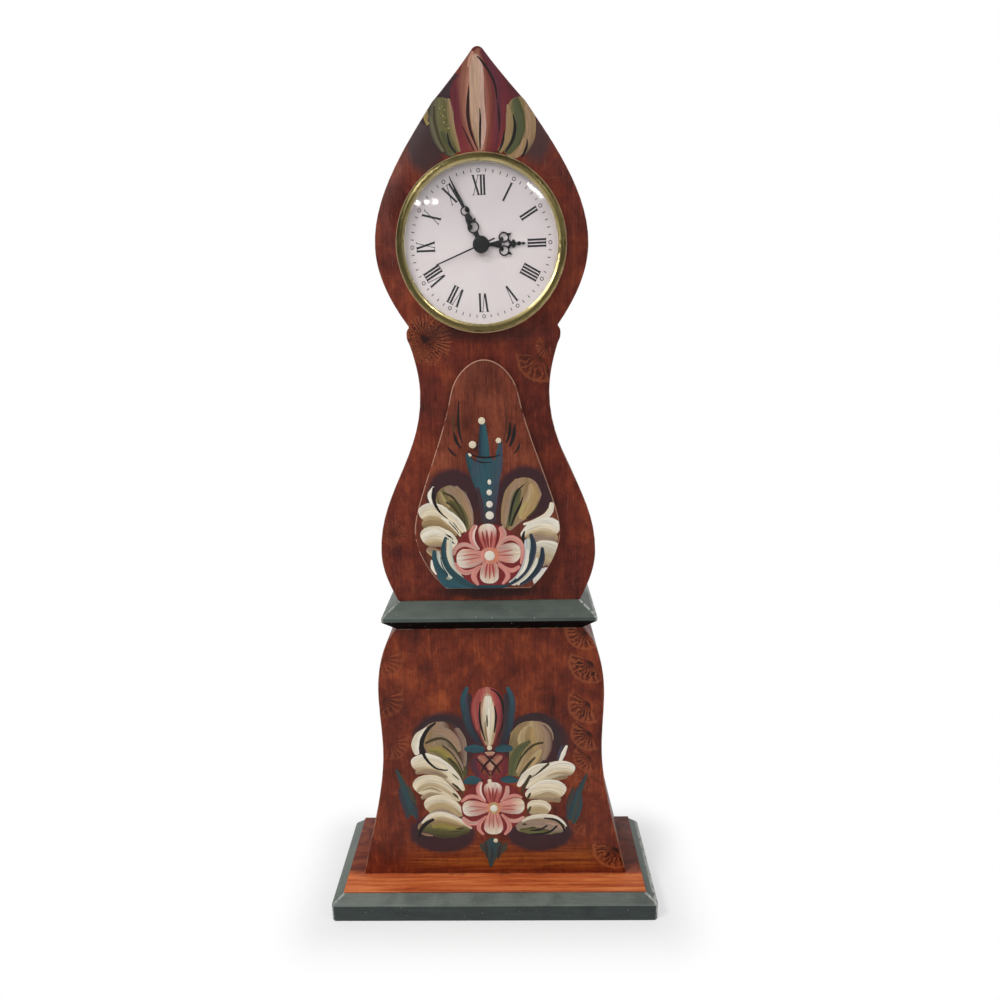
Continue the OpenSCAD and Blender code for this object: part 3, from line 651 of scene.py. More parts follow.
    def rubbed(self, sheet: ShaderSheet, halo: DarkOval, colour: Signal) -> Signal:
        """Lays one dark oval over the stain: a painter's wash, and for two ovals of the upper board a painted
        shadow.
        """
        x, _, z = sheet.xyz
        far = sheet.distance((x - halo.x) / halo.across, (z - halo.z) / halo.up)
        mask = (sheet.noise(0.3, 2.0) * 0.12 + far).ease(1.06 + halo.soft, 1.06 - halo.soft)
        return sheet.blend(mask * halo.strength, colour, halo.code)


@dataclass(frozen=True)
class MouldingFinish(Finish):
    """Grey-green paint on a moulded edge, rubbed to the primer at its corners, with a painted highlight on
    the faces that look up and painted shade, near black, on those that look down.

    Brown_above is the height of a stained top inside the painted edge, or None. The third colour is the
    painted highlight of the faces that look up, and under the painted shade of the faces that look down.
    Corner, crest and mitre say where the sloped face starts and ends to the side, and where its mitre runs,
    as the sum of x and y there.
    """

    light: str
    dark: str
    # painted highlight colour for the faces that look up
    slope: str
    # painted shade colour, near black, for the faces that look down
    under: str = "0b0a09"
    primer: str = "cfd1cb"
    brown_above: float | None = None
    chips: float = 0.6
    corner: float = 90.5
    crest: float = 96.6
    mitre: float = 61.0

    def write(self, sheet: ShaderSheet) -> Signal:
        """Paints the edge, lighter where it faces up and near black where it faces down as painted light and
        shade, wears it, and stains the top inside it.
        """
        rise = sheet.facing()[2]
        mottle = sheet.noise((0.06, 0.06, 0.16), 4.0, 0.6, 0.5)
        brushed = sheet.noise((0.05, 1.2, 1.6), 4.0, 0.65)
        tone = brushed * 0.35 + mottle * 0.65
        colour = sheet.ramp(tone, (0.36, self.dark), (0.62, self.light))
        # Painted light and shade: faces that look up blend to the lighter colour, faces that look down to
        # near black
        lit = sheet.blend(tone.ease(0.36, 0.62, 0.55, 1.0), colour, self.slope)
        colour = sheet.blend(rise.ease(0.12, 0.42), colour, lit)
        colour = sheet.blend(rise.ease(-0.15, -0.4), colour, self.under)
        colour = sheet.blend(self.wear(sheet, rise) * 0.85, colour, self.primer)
        if self.brown_above is not None:
            colour = self.brown_top(sheet, colour, self.brown_above)
        return sheet.surface(Base_Color=colour, Roughness=mottle.ease(0.3, 0.7, 0.34, 0.5),
                             Specular_IOR_Level=rise.ease(-0.15, -0.4, 0.2, 0.02),
                             Normal=sheet.relief(brushed, 0.05, 0.4))

    def wear(self, sheet: ShaderSheet, rise: Signal) -> Signal:
        """Where the paint is gone: specks, chipped edges, and the mitres and the right crest."""
        x, y, _ = sheet.xyz
        far = abs(x)
        specks = sheet.noise(0.9, 2.0, 0.5).ease(0.74, 0.78)
        chip = sheet.noise((0.3, 0.3, 0.55), 5.0, 0.75)
        chip = chip + far.ease(self.corner - 20, self.corner + 2, 0.0, 0.12)
        chipped = sheet.edge(1.1, 0.02, 0.2) * chip.ease(self.chips, self.chips + 0.05)
        mitre = abs(far + y - self.mitre).ease(1.7, 0.5) * far.ease(self.corner - 2, self.corner)
        crest = x.ease(self.crest - 2.4, self.crest - 1.0) * rise.ease(0.1, 0.3)
        patchy = sheet.noise((0.5, 0.3, 0.9), 5.0, 0.8).ease(0.41, 0.52)
        rubbed = patchy * mitre.larger(crest) * x.ease(-1, 1, 0.6, 1.0)
        return specks.larger(chipped).larger(rubbed)

    @staticmethod
    def brown_top(sheet: ShaderSheet, paint: Signal, above: float) -> Signal:
        """The stained wood inside the painted edge, above the given height, with painted shade behind the
        front strip beside the case and at the foot of the step around it.
        """
        _, y, z = sheet.xyz
        fine = sheet.noise((0.09, 2.6, 3.4), 4.0, 0.7)
        tone = fine * 0.35 + sheet.noise((0.02, 0.42, 0.6), 4.0, 0.62, 0.5) * 0.65
        brown = sheet.ramp(tone, (0.34, "9a4224"), (0.48, "d26a3a"), (0.64, "f39256"))
        # Painted shade: behind the front strip, beside the case, the top blends to a darker brown
        clouds = sheet.noise(0.06, 4.0, 0.65, 1.0)
        heavy = sheet.ramp(clouds, (0.36, "5e2b20"), (0.5, "7d3a28"), (0.64, "9a5036"))
        brown = sheet.blend(((clouds - 0.5) * 12.0 + y).ease(-17.5, -12.5), brown, heavy)
        scuffs = sheet.noise((0.2, 0.9, 0.9), 5.0, 0.8).ease(0.7, 0.78)
        brown = sheet.blend(scuffs * 0.5, brown, "c9a58f")
        # Painted shade: the lower part of the small step at the border of the stained top is darkened
        brown = sheet.blend(z.ease(above + 0.7, above + 0.3, 0.0, 0.8), brown, "2a120c")
        wander = sheet.noise((0.4, 0.4, 0.1), 3.0) * 0.3 + z
        return sheet.blend(wander.ease(above + 0.08, above + 0.2), paint, brown)


@dataclass(frozen=True)
class BrushFinish(Finish):
    """Thick artist's paint that shows the bristles, coloured stroke by stroke."""

    def write(self, sheet: ShaderSheet) -> Signal:
        """Shades each stroke's own colour with bristle lines along its length."""
        paint = sheet.read("ShaderNodeAttribute", "Color", attribute_name="pigment")
        lines = sheet.read("ShaderNodeUVMap", "UV", uv_map="brush")
        broad = sheet.noise((90.0, 5.0, 1.0), 3.0, 0.6, vector=lines)
        fine = sheet.noise((330.0, 12.0, 1.0), 3.0, 0.7, vector=lines)
        bristle = fine * 0.5 + broad * 0.5
        colour = sheet.dimmed(paint, bristle.ease(0.36, 0.64, 0.76, 1.14))
        return sheet.surface(Base_Color=colour, Roughness=broad.ease(0.3, 0.7, 0.38, 0.52),
                             Specular_IOR_Level=0.2, Normal=sheet.relief(bristle, 0.1, 0.7))


class Make(Enum):
    """How a hidden or small part was made, which decides its pattern."""

    MOULDED = "moulded"
    BRUSHED = "brushed"
    TURNED = "turned"
    WOUND = "wound"
    PRINTED = "printed"


@dataclass(frozen=True)
class PartFinish(Finish):
    """One plain material of the works: plastic, metal, rubber or lacquer."""

    light: str
    dark: str
    make_way: Make
    metal: float = 0.0
    rough: float = 0.4
    grip: float = 0.5

    def write(self, sheet: ShaderSheet) -> Signal:
        """Lays the maker's pattern between the dark and the light colour."""
        pattern, depth = self.pattern(sheet)
        rough = pattern.ease(0.3, 0.7, self.rough * 0.85, min(1.0, self.rough * 1.2))
        return sheet.surface(Base_Color=sheet.ramp(pattern, (0.35, self.dark), (0.65, self.light)),
                             Roughness=rough, Metallic=self.metal, Specular_IOR_Level=self.grip,
                             Normal=sheet.relief(pattern, depth, 0.4))

    def pattern(self, sheet: ShaderSheet) -> tuple[Signal, float]:
        """The surface pattern for how the part was made.

        Args:
            sheet: the material being written.

        Returns:
            The pattern from about 0.3 to 0.7, and its depth in millimetres.
        """
        if self.make_way is Make.MOULDED:
            return sheet.noise(3.0, 4.0, 0.7), 0.02
        if self.make_way is Make.BRUSHED:
            return sheet.noise((0.35, 9.0, 9.0), 4.0, 0.7), 0.01
        x, _, z = sheet.xyz
        if self.make_way is Make.TURNED:
            rings = sheet.wired(sheet.add("ShaderNodeCombineXYZ"), (sheet.distance(x, z - DIAL_Z),))
            return sheet.noise((5.0, 1.0, 1.0), 4.0, 0.75, vector=rings), 0.008
        if self.make_way is Make.WOUND:
            return sheet.math("SINE", x * 40.0) * 0.12 + sheet.noise((0.8, 2.0, 2.0)), 0.05
        tracks = sheet.noise(0.45, 0.0, 0.5, 1.5)
        return abs(tracks - 0.5).ease(0.045, 0.03, 0.4, 0.66), 0.03


@dataclass(frozen=True)
class BezelFinish(Finish):
    """Aged brass: clean gold on the crests, olive and dull in between."""

    name: str = "aged brass"

    def write(self, sheet: ShaderSheet) -> Signal:
        """Lays rings of clean and dull brass round the dial, with stains, painted shade on its left side and
        a painted highlight along the outer edge.
        """
        x, _, z = sheet.xyz
        far = sheet.distance(x, z - DIAL_Z)
        stains = sheet.noise(0.1, 4.0, 0.6, 0.6)
        worn = ((stains - 0.5) * 1.6 + far).ease(37.5, 43.0)
        tone = sheet.ramp(worn, (0.0, "c2b184"), (0.18, "978859"), (0.34, "655a38"), (0.7, "5a5132"),
                          (0.86, "a29257"), (1.0, "cbb977"))
        spots = sheet.noise(0.7, 4.0, 0.7).ease(0.58, 0.66)
        tone = sheet.blend(spots * 0.45, tone, "4f4722")
        # Painted shade: the left part of the bezel is darkened
        tone = sheet.blend(x.ease(-18, -42, 0.0, 0.5), tone, "443c20")
        # Painted highlight: a pale, less metallic line along the outer edge
        rim = far.ease(41.6, 42.1)
        tone = sheet.blend(rim * 0.8, tone, "f2e2b6")
        scratch = sheet.noise((0.5, 3.0, 3.0), 4.0, 0.75)
        return sheet.surface(Base_Color=tone, Roughness=stains.ease(0.35, 0.65, 0.22, 0.38),
                             Metallic=rim * -0.5 + 0.9, Normal=sheet.relief(scratch, 0.01, 0.3))


@dataclass(frozen=True)
class GlassFinish(Finish):
    """Clear glass that lets the lamps through to the dial."""

    name: str = "clear glass"

    def write(self, sheet: ShaderSheet) -> Signal:
        """Mixes faintly dusty glass with clear air for the light that only passes."""
        dust = sheet.noise(0.25).ease(0.3, 0.7, 0.0, 0.02)
        glass = sheet.surface(Base_Color="fbfcfd", Roughness=dust, IOR=1.2, Transmission_Weight=1.0)
        clear = sheet.read("ShaderNodeBsdfTransparent")
        return sheet.mixed(sheet.read("ShaderNodeLightPath", "Is Shadow Ray"), glass, clear)


@dataclass(frozen=True)
class DialFinish(Finish):
    """Satin white enamel with a fine orange-peel surface, with a painted shadow of the bezel greying it
    towards the top.
    """

    name: str = "dial white"

    def write(self, sheet: ShaderSheet) -> Signal:
        """Blends two greyish whites upwards, the darker one at the top as a painted shadow of the bezel."""
        fine = sheet.noise(2.5, 3.0, 0.7)
        tone = fine * 0.3 + sheet.noise(0.03, 2.0) * 0.7
        low = sheet.ramp(tone, (0.34, "b2a7a6"), (0.66, "b9b1af"))
        high = sheet.ramp(tone, (0.34, "9f9696"), (0.66, "a79e9d"))
        # Painted shadow: the dial darkens towards the top, where the bezel shades it
        colour = sheet.blend(sheet.xyz[2].ease(DIAL_Z - 12, DIAL_Z + 26), low, high)
        return sheet.surface(Base_Color=colour, Roughness=fine.ease(0.3, 0.7, 0.4, 0.5),
                             Specular_IOR_Level=0.3, Normal=sheet.relief(fine, 0.01, 0.3))


@dataclass(frozen=True)
class PaperFinish(Finish):
    """Pale paper near the object, where it takes the shadow, and plain white further away."""

    name: str = "pale paper"
    code: str = "fafafa"
    half_width: float = 96.0
    half_depth: float = 35.0

    def write(self, sheet: ShaderSheet) -> Signal:
        """Mixes paper with a white that only the camera, metal and glass see."""
        x, y, z = sheet.xyz
        colour = sheet.ramp(sheet.noise(0.4, 2.0), (0.3, "f7f7f7"), (0.7, self.code))
        paper = sheet.surface(Base_Color=colour, Roughness=0.9, Specular_IOR_Level=0.1)
        past_x = (abs(x) - self.half_width).larger(0.0)
        past_y = (abs(y) - self.half_depth).larger(0.0)
        far = sheet.distance(past_x, past_y).larger(z)
        seen, glossy, through = (sheet.read("ShaderNodeLightPath", f"Is {ray} Ray")
                                 for ray in ("Camera", "Glossy", "Transmission"))
        share = seen.larger(glossy).larger(through) * far.ease(0.0, 40.0, 0.55, 1.0)
        return sheet.mixed(share, paper, sheet.read("ShaderNodeEmission"))


# Brush work


@dataclass(frozen=True)
class Stroke:
    """One pull of the brush, in millimetres on the board's face."""

    line: tuple[tuple[float, float], ...]
    widths: tuple[float, ...]
    rows: np.ndarray

    @classmethod
    def read(cls, text: str) -> "Stroke":
        """Reads one line of a painting.

        Args:
            text: colours from the left to the right edge, in one to three rows from head to tail with
                a > between them, then the widths, then the points, with bars between the three.

        Returns:
            The stroke.
        """
        colours, widths, line = text.split("|")
        points = tuple(tuple(float(n) for n in p.split(",")) for p in line.split())
        rows = np.array([cls.mix(row) for row in colours.split(">")])
        return cls(points, tuple(float(w) for w in widths.split()), rows)

    @staticmethod
    def mix(names: str) -> np.ndarray:
        """The colours from the left to the right edge, from one or more pigment names."""
        found = np.array([linear(Pigment[n.upper()].value) for n in names.split()])
        where = np.linspace(0, len(found) - 1, SHADES)
        return np.stack([np.interp(where, np.arange(len(found)), found[:, k]) for k in range(3)], 1)

    def shades(self, side: np.ndarray, share: np.ndarray) -> np.ndarray:
        """The paint's colour at many places.

        Args:
            side: how far across each place is, from -1 on the left edge to 1 on the right one.
            share: how far along it is, from 0 at the head to 1 at the tail.

        Returns:
            One colour for each place.
        """
        place = (side + 1) / 2 * (SHADES - 1)
        left = np.clip(place.astype(int), 0, SHADES - 2)
        across = (place - left)[:, None]
        strips = [row[left] * (1 - across) + row[left + 1] * across for row in self.rows]
        if len(strips) == 1:
            return strips[0]
        step = np.clip((share * (len(strips) - 1)).astype(int), 0, len(strips) - 2)
        along = (share * (len(strips) - 1) - step)[:, None]
        table = np.array(strips)
        places = np.arange(len(side))
        return table[step, places] * (1 - along) + table[step + 1, places] * along


class FaceOutline:
    """The outer outline of a board's front face, which brush work doesn't cross."""

    def __init__(self, node: bpy.types.Object) -> None:
        """Finds the front face and its outline.

        Args:
            node: the frame's board.
        """
        mesh = bmesh.new()
        mesh.from_mesh(node.data)
        bmesh.ops.remove_doubles(mesh, verts=mesh.verts, dist=2e-6)
        front = min(v.co.y for v in mesh.verts)
        faces = {f for f in mesh.faces if f.normal.y < -0.99 and f.calc_center_median().y < front + 1e-4}
        rims = [e for e in mesh.edges if sum(f in faces for f in e.link_faces) == 1]
        self.face = front / MM
        self.ends = np.array([[[v.co.x, v.co.z] for v in e.verts] for e in rims]) / MM
        mesh.free()

    @property
    def sunk(self) -> float:
        """Where the rims of all films lie, just inside the board."""
        return self.face + FILM_SINK

    def film(self, level: int) -> float:
        """Where the top of a film lies that has this many others below it."""
        return self.face - FILM_BASE - FILM_STEP * level

    def hold(self, points: np.ndarray, margin: float) -> np.ndarray:
        """Brings points that lie past the outline back onto the board.

        Args:
            points: places on the face, one row each.
            margin: how far inside the outline they stay.

        Returns:
            The places after that.
        """
        held = points.copy()
        low, high = self.ends[..., 1].min(), self.ends[..., 1].max()
        held[:, 1] = np.clip(held[:, 1], low + margin, high - margin)
        (x1, z1), (x2, z2) = self.ends[:, 0].T, self.ends[:, 1].T
        for row in held:
            crossed = (z1 - row[1]) * (z2 - row[1]) <= 0
            crossed &= np.abs(z2 - z1) > 1e-6
            share = (row[1] - z1[crossed]) / (z2[crossed] - z1[crossed])
            xs = x1[crossed] + share * (x2[crossed] - x1[crossed])
            row[0] = min(max(row[0], xs.min() + margin), xs.max() - margin)
        return held


def brush_line(points: Sequence[tuple[float, float]], count: int) -> tuple[np.ndarray, np.ndarray]:
    """A smooth line through points, with more rows near its ends.

    Args:
        points: the places that the brush passes.
        count: how many rows are wanted.

    Returns:
        The rows' places, and how far along the line each one is.
    """
    given = np.array(points, float)
    wide = np.vstack([2 * given[0] - given[1], given, 2 * given[-1] - given[-2]])
    share = np.linspace(0, 1, 20, endpoint=False)[:, None]
    parts = []
    for a, b, c, d in zip(wide, wide[1:], wide[2:], wide[3:]):
        bend = (2 * a - 5 * b + 4 * c - d) * share ** 2 + (3 * b - a - 3 * c + d) * share ** 3
        parts.append(0.5 * (2 * b + (c - a) * share + bend))
    dense = np.vstack([*parts, given[-1:]])
    run = np.concatenate([[0.0], np.cumsum(np.linalg.norm(np.diff(dense, axis=0), axis=1))])
    inner = (1 - np.cos(np.linspace(0, math.pi, count - 2))) / 2
    where = np.concatenate([[0.0], inner, [1.0]]) * run[-1]
    return np.stack([np.interp(where, run, dense[:, k]) for k in (0, 1)], 1), where


def primed(pattern: bpy.types.Object) -> bpy.types.Mesh:
    """Gives a pattern the colour and the map that the brush paint reads, and returns its mesh."""
    mesh = pattern.data
    for layer in list(mesh.uv_layers):
        mesh.uv_layers.remove(layer)
    mesh.uv_layers.new(name="brush")
    mesh.attributes.new("pigment", "FLOAT_COLOR", "POINT")
    return mesh


@dataclass
class BrushKit:
    """The pattern from which every stroke is copied.

    Margin is how far inside the board's outline strokes stay, and tightest the share of a bend's radius that
    a stroke's inner half may fill. Shift moves the bristle lines from stroke to stroke. Millimetres.
    """

    rows: int = 24
    columns: int = 11
    square: bool = False
    margin: float = 0.35
    tightest: float = 0.92
    shift: tuple[float, float] = (13.7, 5.1)
    sheet: bpy.types.Object = field(init=False)

    def __post_init__(self) -> None:
        """Models the pattern: a grid whose rim is turned down and closed underneath."""
        bpy.ops.mesh.primitive_grid_add(x_subdivisions=self.columns - 1, y_subdivisions=self.rows - 1, size=2)
        self.sheet = started("stroke_pattern")
        with editing(self.sheet, "DESELECT"):
            bpy.ops.mesh.select_non_manifold()
            bpy.ops.transform.translate(value=(0, 0, -0.1))
            bpy.ops.mesh.edge_face_add()
            bpy.ops.mesh.select_all(action="SELECT")
            bpy.ops.mesh.normals_make_consistent(inside=False)
        mesh = primed(self.sheet)
        places = np.array([v.co[:] for v in mesh.vertices])
        self.column = np.rint((places[:, 0] + 1) / 2 * (self.columns - 1)).astype(int)
        self.row = np.rint((places[:, 1] + 1) / 2 * (self.rows - 1)).astype(int)
        self.corner = np.array([c.vertex_index for c in mesh.loops])

    def half_widths(self, stroke: Stroke, run: np.ndarray) -> np.ndarray:
        """Half the stroke's width at each row, drawn in at the ends for a round touch."""
        wide = np.interp(run / run[-1], np.linspace(0, 1, len(stroke.widths)), stroke.widths) / 2
        if self.square:
            return wide
        for distance, radius in ((run, stroke.widths[0] / 2), (run[-1] - run, stroke.widths[-1] / 2)):
            radius = min(max(0.85 * radius, 0.1), run[-1] / 2)
            wide = wide * np.clip(1 - (1 - np.minimum(distance / radius, 1)) ** 2.5, 0, 1) ** 0.4
        return np.maximum(wide, 0.02)

    def lay(self, stroke: Stroke, outline: FaceOutline, level: int, seed: int) -> bpy.types.Object:
        """Lays one stroke on a board.

        Args:
            stroke: what is painted.
            outline: the board's face.
            level: how many strokes lie below it.
            seed: a number that makes its bristle lines its own.

        Returns:
            The stroke as an object.
        """
        spine, run = brush_line(stroke.line, self.rows)
        ahead = np.gradient(spine[1:-1], axis=0)
        ahead /= np.maximum(np.linalg.norm(ahead, axis=1), 1e-9)[:, None]
        ahead = np.vstack([ahead[:1], ahead, ahead[-1:]])
        right = np.stack([ahead[:, 1], -ahead[:, 0]], 1)
        half = self.half_widths(stroke, run)
        turn = np.gradient(np.unwrap(np.arctan2(ahead[1:-1, 1], ahead[1:-1, 0])), np.maximum.accumulate(
            run[1:-1] + np.arange(self.rows - 2) * 1e-6))
        turn = np.concatenate([turn[:1], turn, turn[-1:]])
        room = self.tightest / np.maximum(np.abs(turn), 1e-6)
        left_half = np.where(turn > 0, np.minimum(half, room), half)
        right_half = np.where(turn < 0, np.minimum(half, room), half)
        across = np.concatenate([[-1.0], np.linspace(-1, 1, self.columns - 2), [1.0]])
        side = across[self.column]
        offset = np.where(side < 0, side * left_half[self.row], side * right_half[self.row])
        flat = outline.hold(spine[self.row] + right[self.row] * offset[:, None], self.margin)
        rim = np.isin(self.column, (0, self.columns - 1)) | np.isin(self.row, (0, self.rows - 1))
        depth = np.where(rim, outline.sunk, outline.film(level))
        places = np.stack([flat[:, 0], depth, flat[:, 1]], 1) * MM
        piece = twin(self.sheet, "stroke")
        piece.data.vertices.foreach_set("co", places.astype(np.float32).ravel())
        colour = stroke.shades(side, (run / run[-1])[self.row])
        full = np.concatenate([colour, np.ones((len(colour), 1))], 1).astype(np.float32)
        piece.data.attributes["pigment"].data.foreach_set("color", full.ravel())
        mapped = (np.stack([offset, run[self.row]], 1) + np.array(self.shift) * seed)[self.corner] / 100
        piece.data.uv_layers["brush"].data.foreach_set("uv", mapped.astype(np.float32).ravel())
        piece.data.update()
        return piece


@dataclass
class Painting:
    """The strokes and dots of one board, from the first laid to the last.

    Strokes that come nearer to each other than the apart distance, in millimetres, lie one above the other.
    """

    name: str
    node: str
    text: str
    blobs: str
    apart: float = 0.3

    def build(self, frame: dict[str, Any], kit: BrushKit, dots: "DotKit",
              finish: bpy.types.Material) -> bpy.types.Object:
        """Paints the board.

        Args:
            kit: the stroke pattern.
            dots: the dot pattern.
            finish: the paint's material.

        Returns:
            All the strokes and dots as one piece.
        """
        outline = FaceOutline(frame["nodes"][self.node])
        strokes = [Stroke.read(line) for line in self.text.strip().splitlines()]
        levels = self.levels(strokes, kit)
        made = [kit.lay(stroke, outline, level, number)
                for number, (stroke, level) in enumerate(zip(strokes, levels))]
        made += [dots.lay(line, outline, max(levels) + 1) for line in self.blobs.strip().splitlines()]
        piece = joined(made, self.name)
        LOG.info("%s: %d strokes in %d layers", self.name, len(strokes), max(levels) + 1)
        return seat(coat(piece, finish), "case", Slot.STAINED_WOOD)

    def levels(self, strokes: Sequence[Stroke], kit: BrushKit) -> list[int]:
        """How many strokes lie below each one.

        Args:
            strokes: the strokes in the order they are laid.
            kit: the stroke pattern.

        Returns:
            One number for each stroke.
        """
        traces = []
        for stroke in strokes:
            spine, run = brush_line(stroke.line, kit.rows)
            traces.append((spine, kit.half_widths(stroke, run)))
        found: list[int] = []
        for number, (spine, half) in enumerate(traces):
            level = 0
            for below in range(number):
                other, wide = traces[below]
                gap = np.linalg.norm(spine[:, None] - other[None], axis=2) - half[:, None] - wide[None]
                if gap.min() < self.apart:
                    level = max(level, found[below] + 1)
            found.append(level)
        return found


@dataclass
class DotKit:
    """The pattern for dots of thick paint, set with the end of the brush.

    It is the part of a ball of radius 1 above the cut. Bulge is how much thicker a dot is in its middle,
    in millimetres.
    """

    cut: float = 0.1
    bulge: float = 0.3
    dome: bpy.types.Object = field(init=False)

    def __post_init__(self) -> None:
        """Models the pattern: the upper part of a ball, closed below."""
        bpy.ops.mesh.primitive_uv_sphere_add(segments=20, ring_count=12, radius=1)
        self.dome = started("dot_pattern")
        with editing(self.dome):
            bpy.ops.mesh.bisect(plane_co=(0, 0, self.cut), plane_no=(0, 0, 1), clear_inner=True,
                                use_fill=True)
        bpy.ops.object.shade_smooth_by_angle(angle=math.radians(40))
        primed(self.dome)

    def lay(self, line: str, outline: FaceOutline, level: int) -> bpy.types.Object:
        """Sets one dot on a board.

        Args:
            line: pigment, place across, place up, half its width and half its height.
            outline: the board's face.
            level: how many strokes lie below it.

        Returns:
            The dot as an object.
        """
        name, x, z, across, up = line.split()
        piece = twin(self.dome, "dot")
        for vertex in piece.data.vertices:
            right, top, out = vertex.co
            above = out - self.cut
            depth = outline.film(level) - self.bulge * above if above > 0.01 else outline.sunk
            place = (float(x) + right * float(across), depth, float(z) + top * float(up))
            vertex.co = Vector(place) * MM
        colour = rgba(Pigment[name.upper()].value)
        piece.data.attributes["pigment"].data.foreach_set("color", colour * len(piece.data.vertices))
        with editing(piece):
            bpy.ops.mesh.normals_make_consistent(inside=False)
        return piece


HEAD_STROKES = """
halo grape|3 8 10 9|-9,459 -15.4,452.6 -22,446 -27.6,438.6
halo maroon|3 8 10 9|8,461 15,454.4 21.4,447.6 27.4,438.6
maroon brick rust rust maroon > wine brick clay brick wine|3 14 25 24 22 19 16|.6,470 .6,463 .4,455 0,446 \
0,437 0,430 0,424.8
maroon > maroon > wine|1.6 4.2 4.6 4.4 4.8 5|-11,456.5 -11.7,450 -11.4,443 -10.6,437 -9,431 -7,425
maroon plum maroon > maroon > wine|2 4.4 5.6 6 4.2 4 4 3.4|1.8,469.2 5,465 8.6,459.5 11.2,453 12,447 \
11.4,440 10,433 7.6,426
maroon plum brick > plum plum brick > maroon wine|1.6 3 3.4 3.6 3.8 4.2 4|5.4,462.5 7.6,457 8.8,450 \
9.1,443 8.6,436 7,428.4 6,425.3
maroon brick clay > maroon brick clay > wine brick salmon|1.6 4 4.4 4.4 4.8 4.6 3|3.4,462.5 4.9,456 \
5.6,450 5.7,444 5.3,438 4.5,431.5 3,425.5
salmon rust rust > salmon rust maroon > salmon clay wine|2.4 4.6 5.2 4.8 4.4 4 3.6 2|-2.4,469 -5,462.5 \
-6.8,456 -7.4,450 -7.3,444 -6.3,437.5 -4.2,431 -1.8,425.8
rust salmon peach|1.4 2 1.4|-1.8,468.6 -3.2,465.5 -4.2,462
blush peach peach > blush peach peach > blush peach tan|2.6 6.4 6.9 7 7.1 7.4 7 4.8 1.6|-1,467.6 -.7,463.5 \
-.6,458 -.6,452 -.6,446 -.2,440 .2,436 .5,430.5 .6,425.8
blush|1 2 2.2 1|2,445.5 2.3,440 2.3,434 1.6,428.6
ink|.5 1.2 1.2 1 .5|-.2,466.8 2.6,463.8 5.6,459.6 8,454.5 9,448
ink|.4 .9 .5|9.2,447 9.8,441 9.8,434.5
ink|.5 1.3 1.5 1.3 1 .4|-4.3,454 -4.9,448 -5.2,442 -4.4,436 -2.8,431 -.8,426.2
soot|.4 1.1 1 .5|.6,444.5 .8,440 .5,433 .4,426.2
ink|.3 .8 .4|-7.8,436.6 -4.8,430.4 -2.6,426
ink|.3 .9 .4|-13.6,451 -13.4,444.5 -12.4,437
tan olive olive sage halo > olive moss olive sage halo|9 13 12.5 9 6|-18,449.5 -18.4,441 -17.2,433.5 \
-14.6,428 -12,424.2
sage tan ochre|1.4 3 1.8|-25.4,445 -25,441 -24.2,437.5
sage sage halo|1.4 3.2 3 2|-23.6,441.5 -22.8,437 -21,431 -17.6,425.6
dusk|.7 1.5 1.4 .8|-21.2,446 -21,438.5 -19,431 -15.8,425
olive fern moss|2 4.4 3|-17.8,435 -15.4,430 -12.8,425
fawn tan olive > tan olive|1.6 3.2 3 2.6 1.4|-14.4,449 -13.7,442 -12.7,435 -10.9,429 -9.6,425.4
soot|.5 1.3 .8|-15.3,433.8 -14,428.6 -11.4,425
fawn tan olive fern tan|9 14 14.5 12 8|19,449 20.2,441 19.8,434 17,428 13,424
moss fern fern olive|3 5.6 6.2 5.2 3|17.4,448.4 19,441.5 19.2,435 17,429 13.2,424.4
olive tan fawn > tan|2 3.6 3.4 2.2|14.4,446 15,438.5 13.6,431 9.6,425
tan fawn fawn > tan fawn > halo fawn tan|2.2 4.6 4.8 3.6|23,445.6 24.9,438.5 24.4,431 20.8,424
tan fawn|1.4 2.6 1.4|21.9,431 20.6,426.6 17.4,422.5
soot|.5 1.5 1.4 .7|16.5,441.5 17.4,436 16,430 12.6,424.9
soot|.4 1.2 .7|12.2,434.6 11.4,429.6 9.4,425.3
soot|.4 1.3 .8|23.2,430.6 22.8,427 20.6,422.5
"""

HEAD_DOTS = """
straw -18.4 444.6 .5 .35
ochre -17.3 445.4 .6 .3
straw -16.2 443.9 .35 .3
ochre -18.1 442.4 .5 .3
straw -17 441.4 .35 .45
ochre -16 440.6 .3 .6
straw -16.6 438.6 .55 .3
ochre -15.2 437.6 .4 .3
straw -14.6 436 .5 .35
ochre -15.8 435.4 .3 .4
straw -24.6 443.6 .4 .7
ochre -25.2 440.6 .35 .8
straw -24 438.4 .3 .5
"""

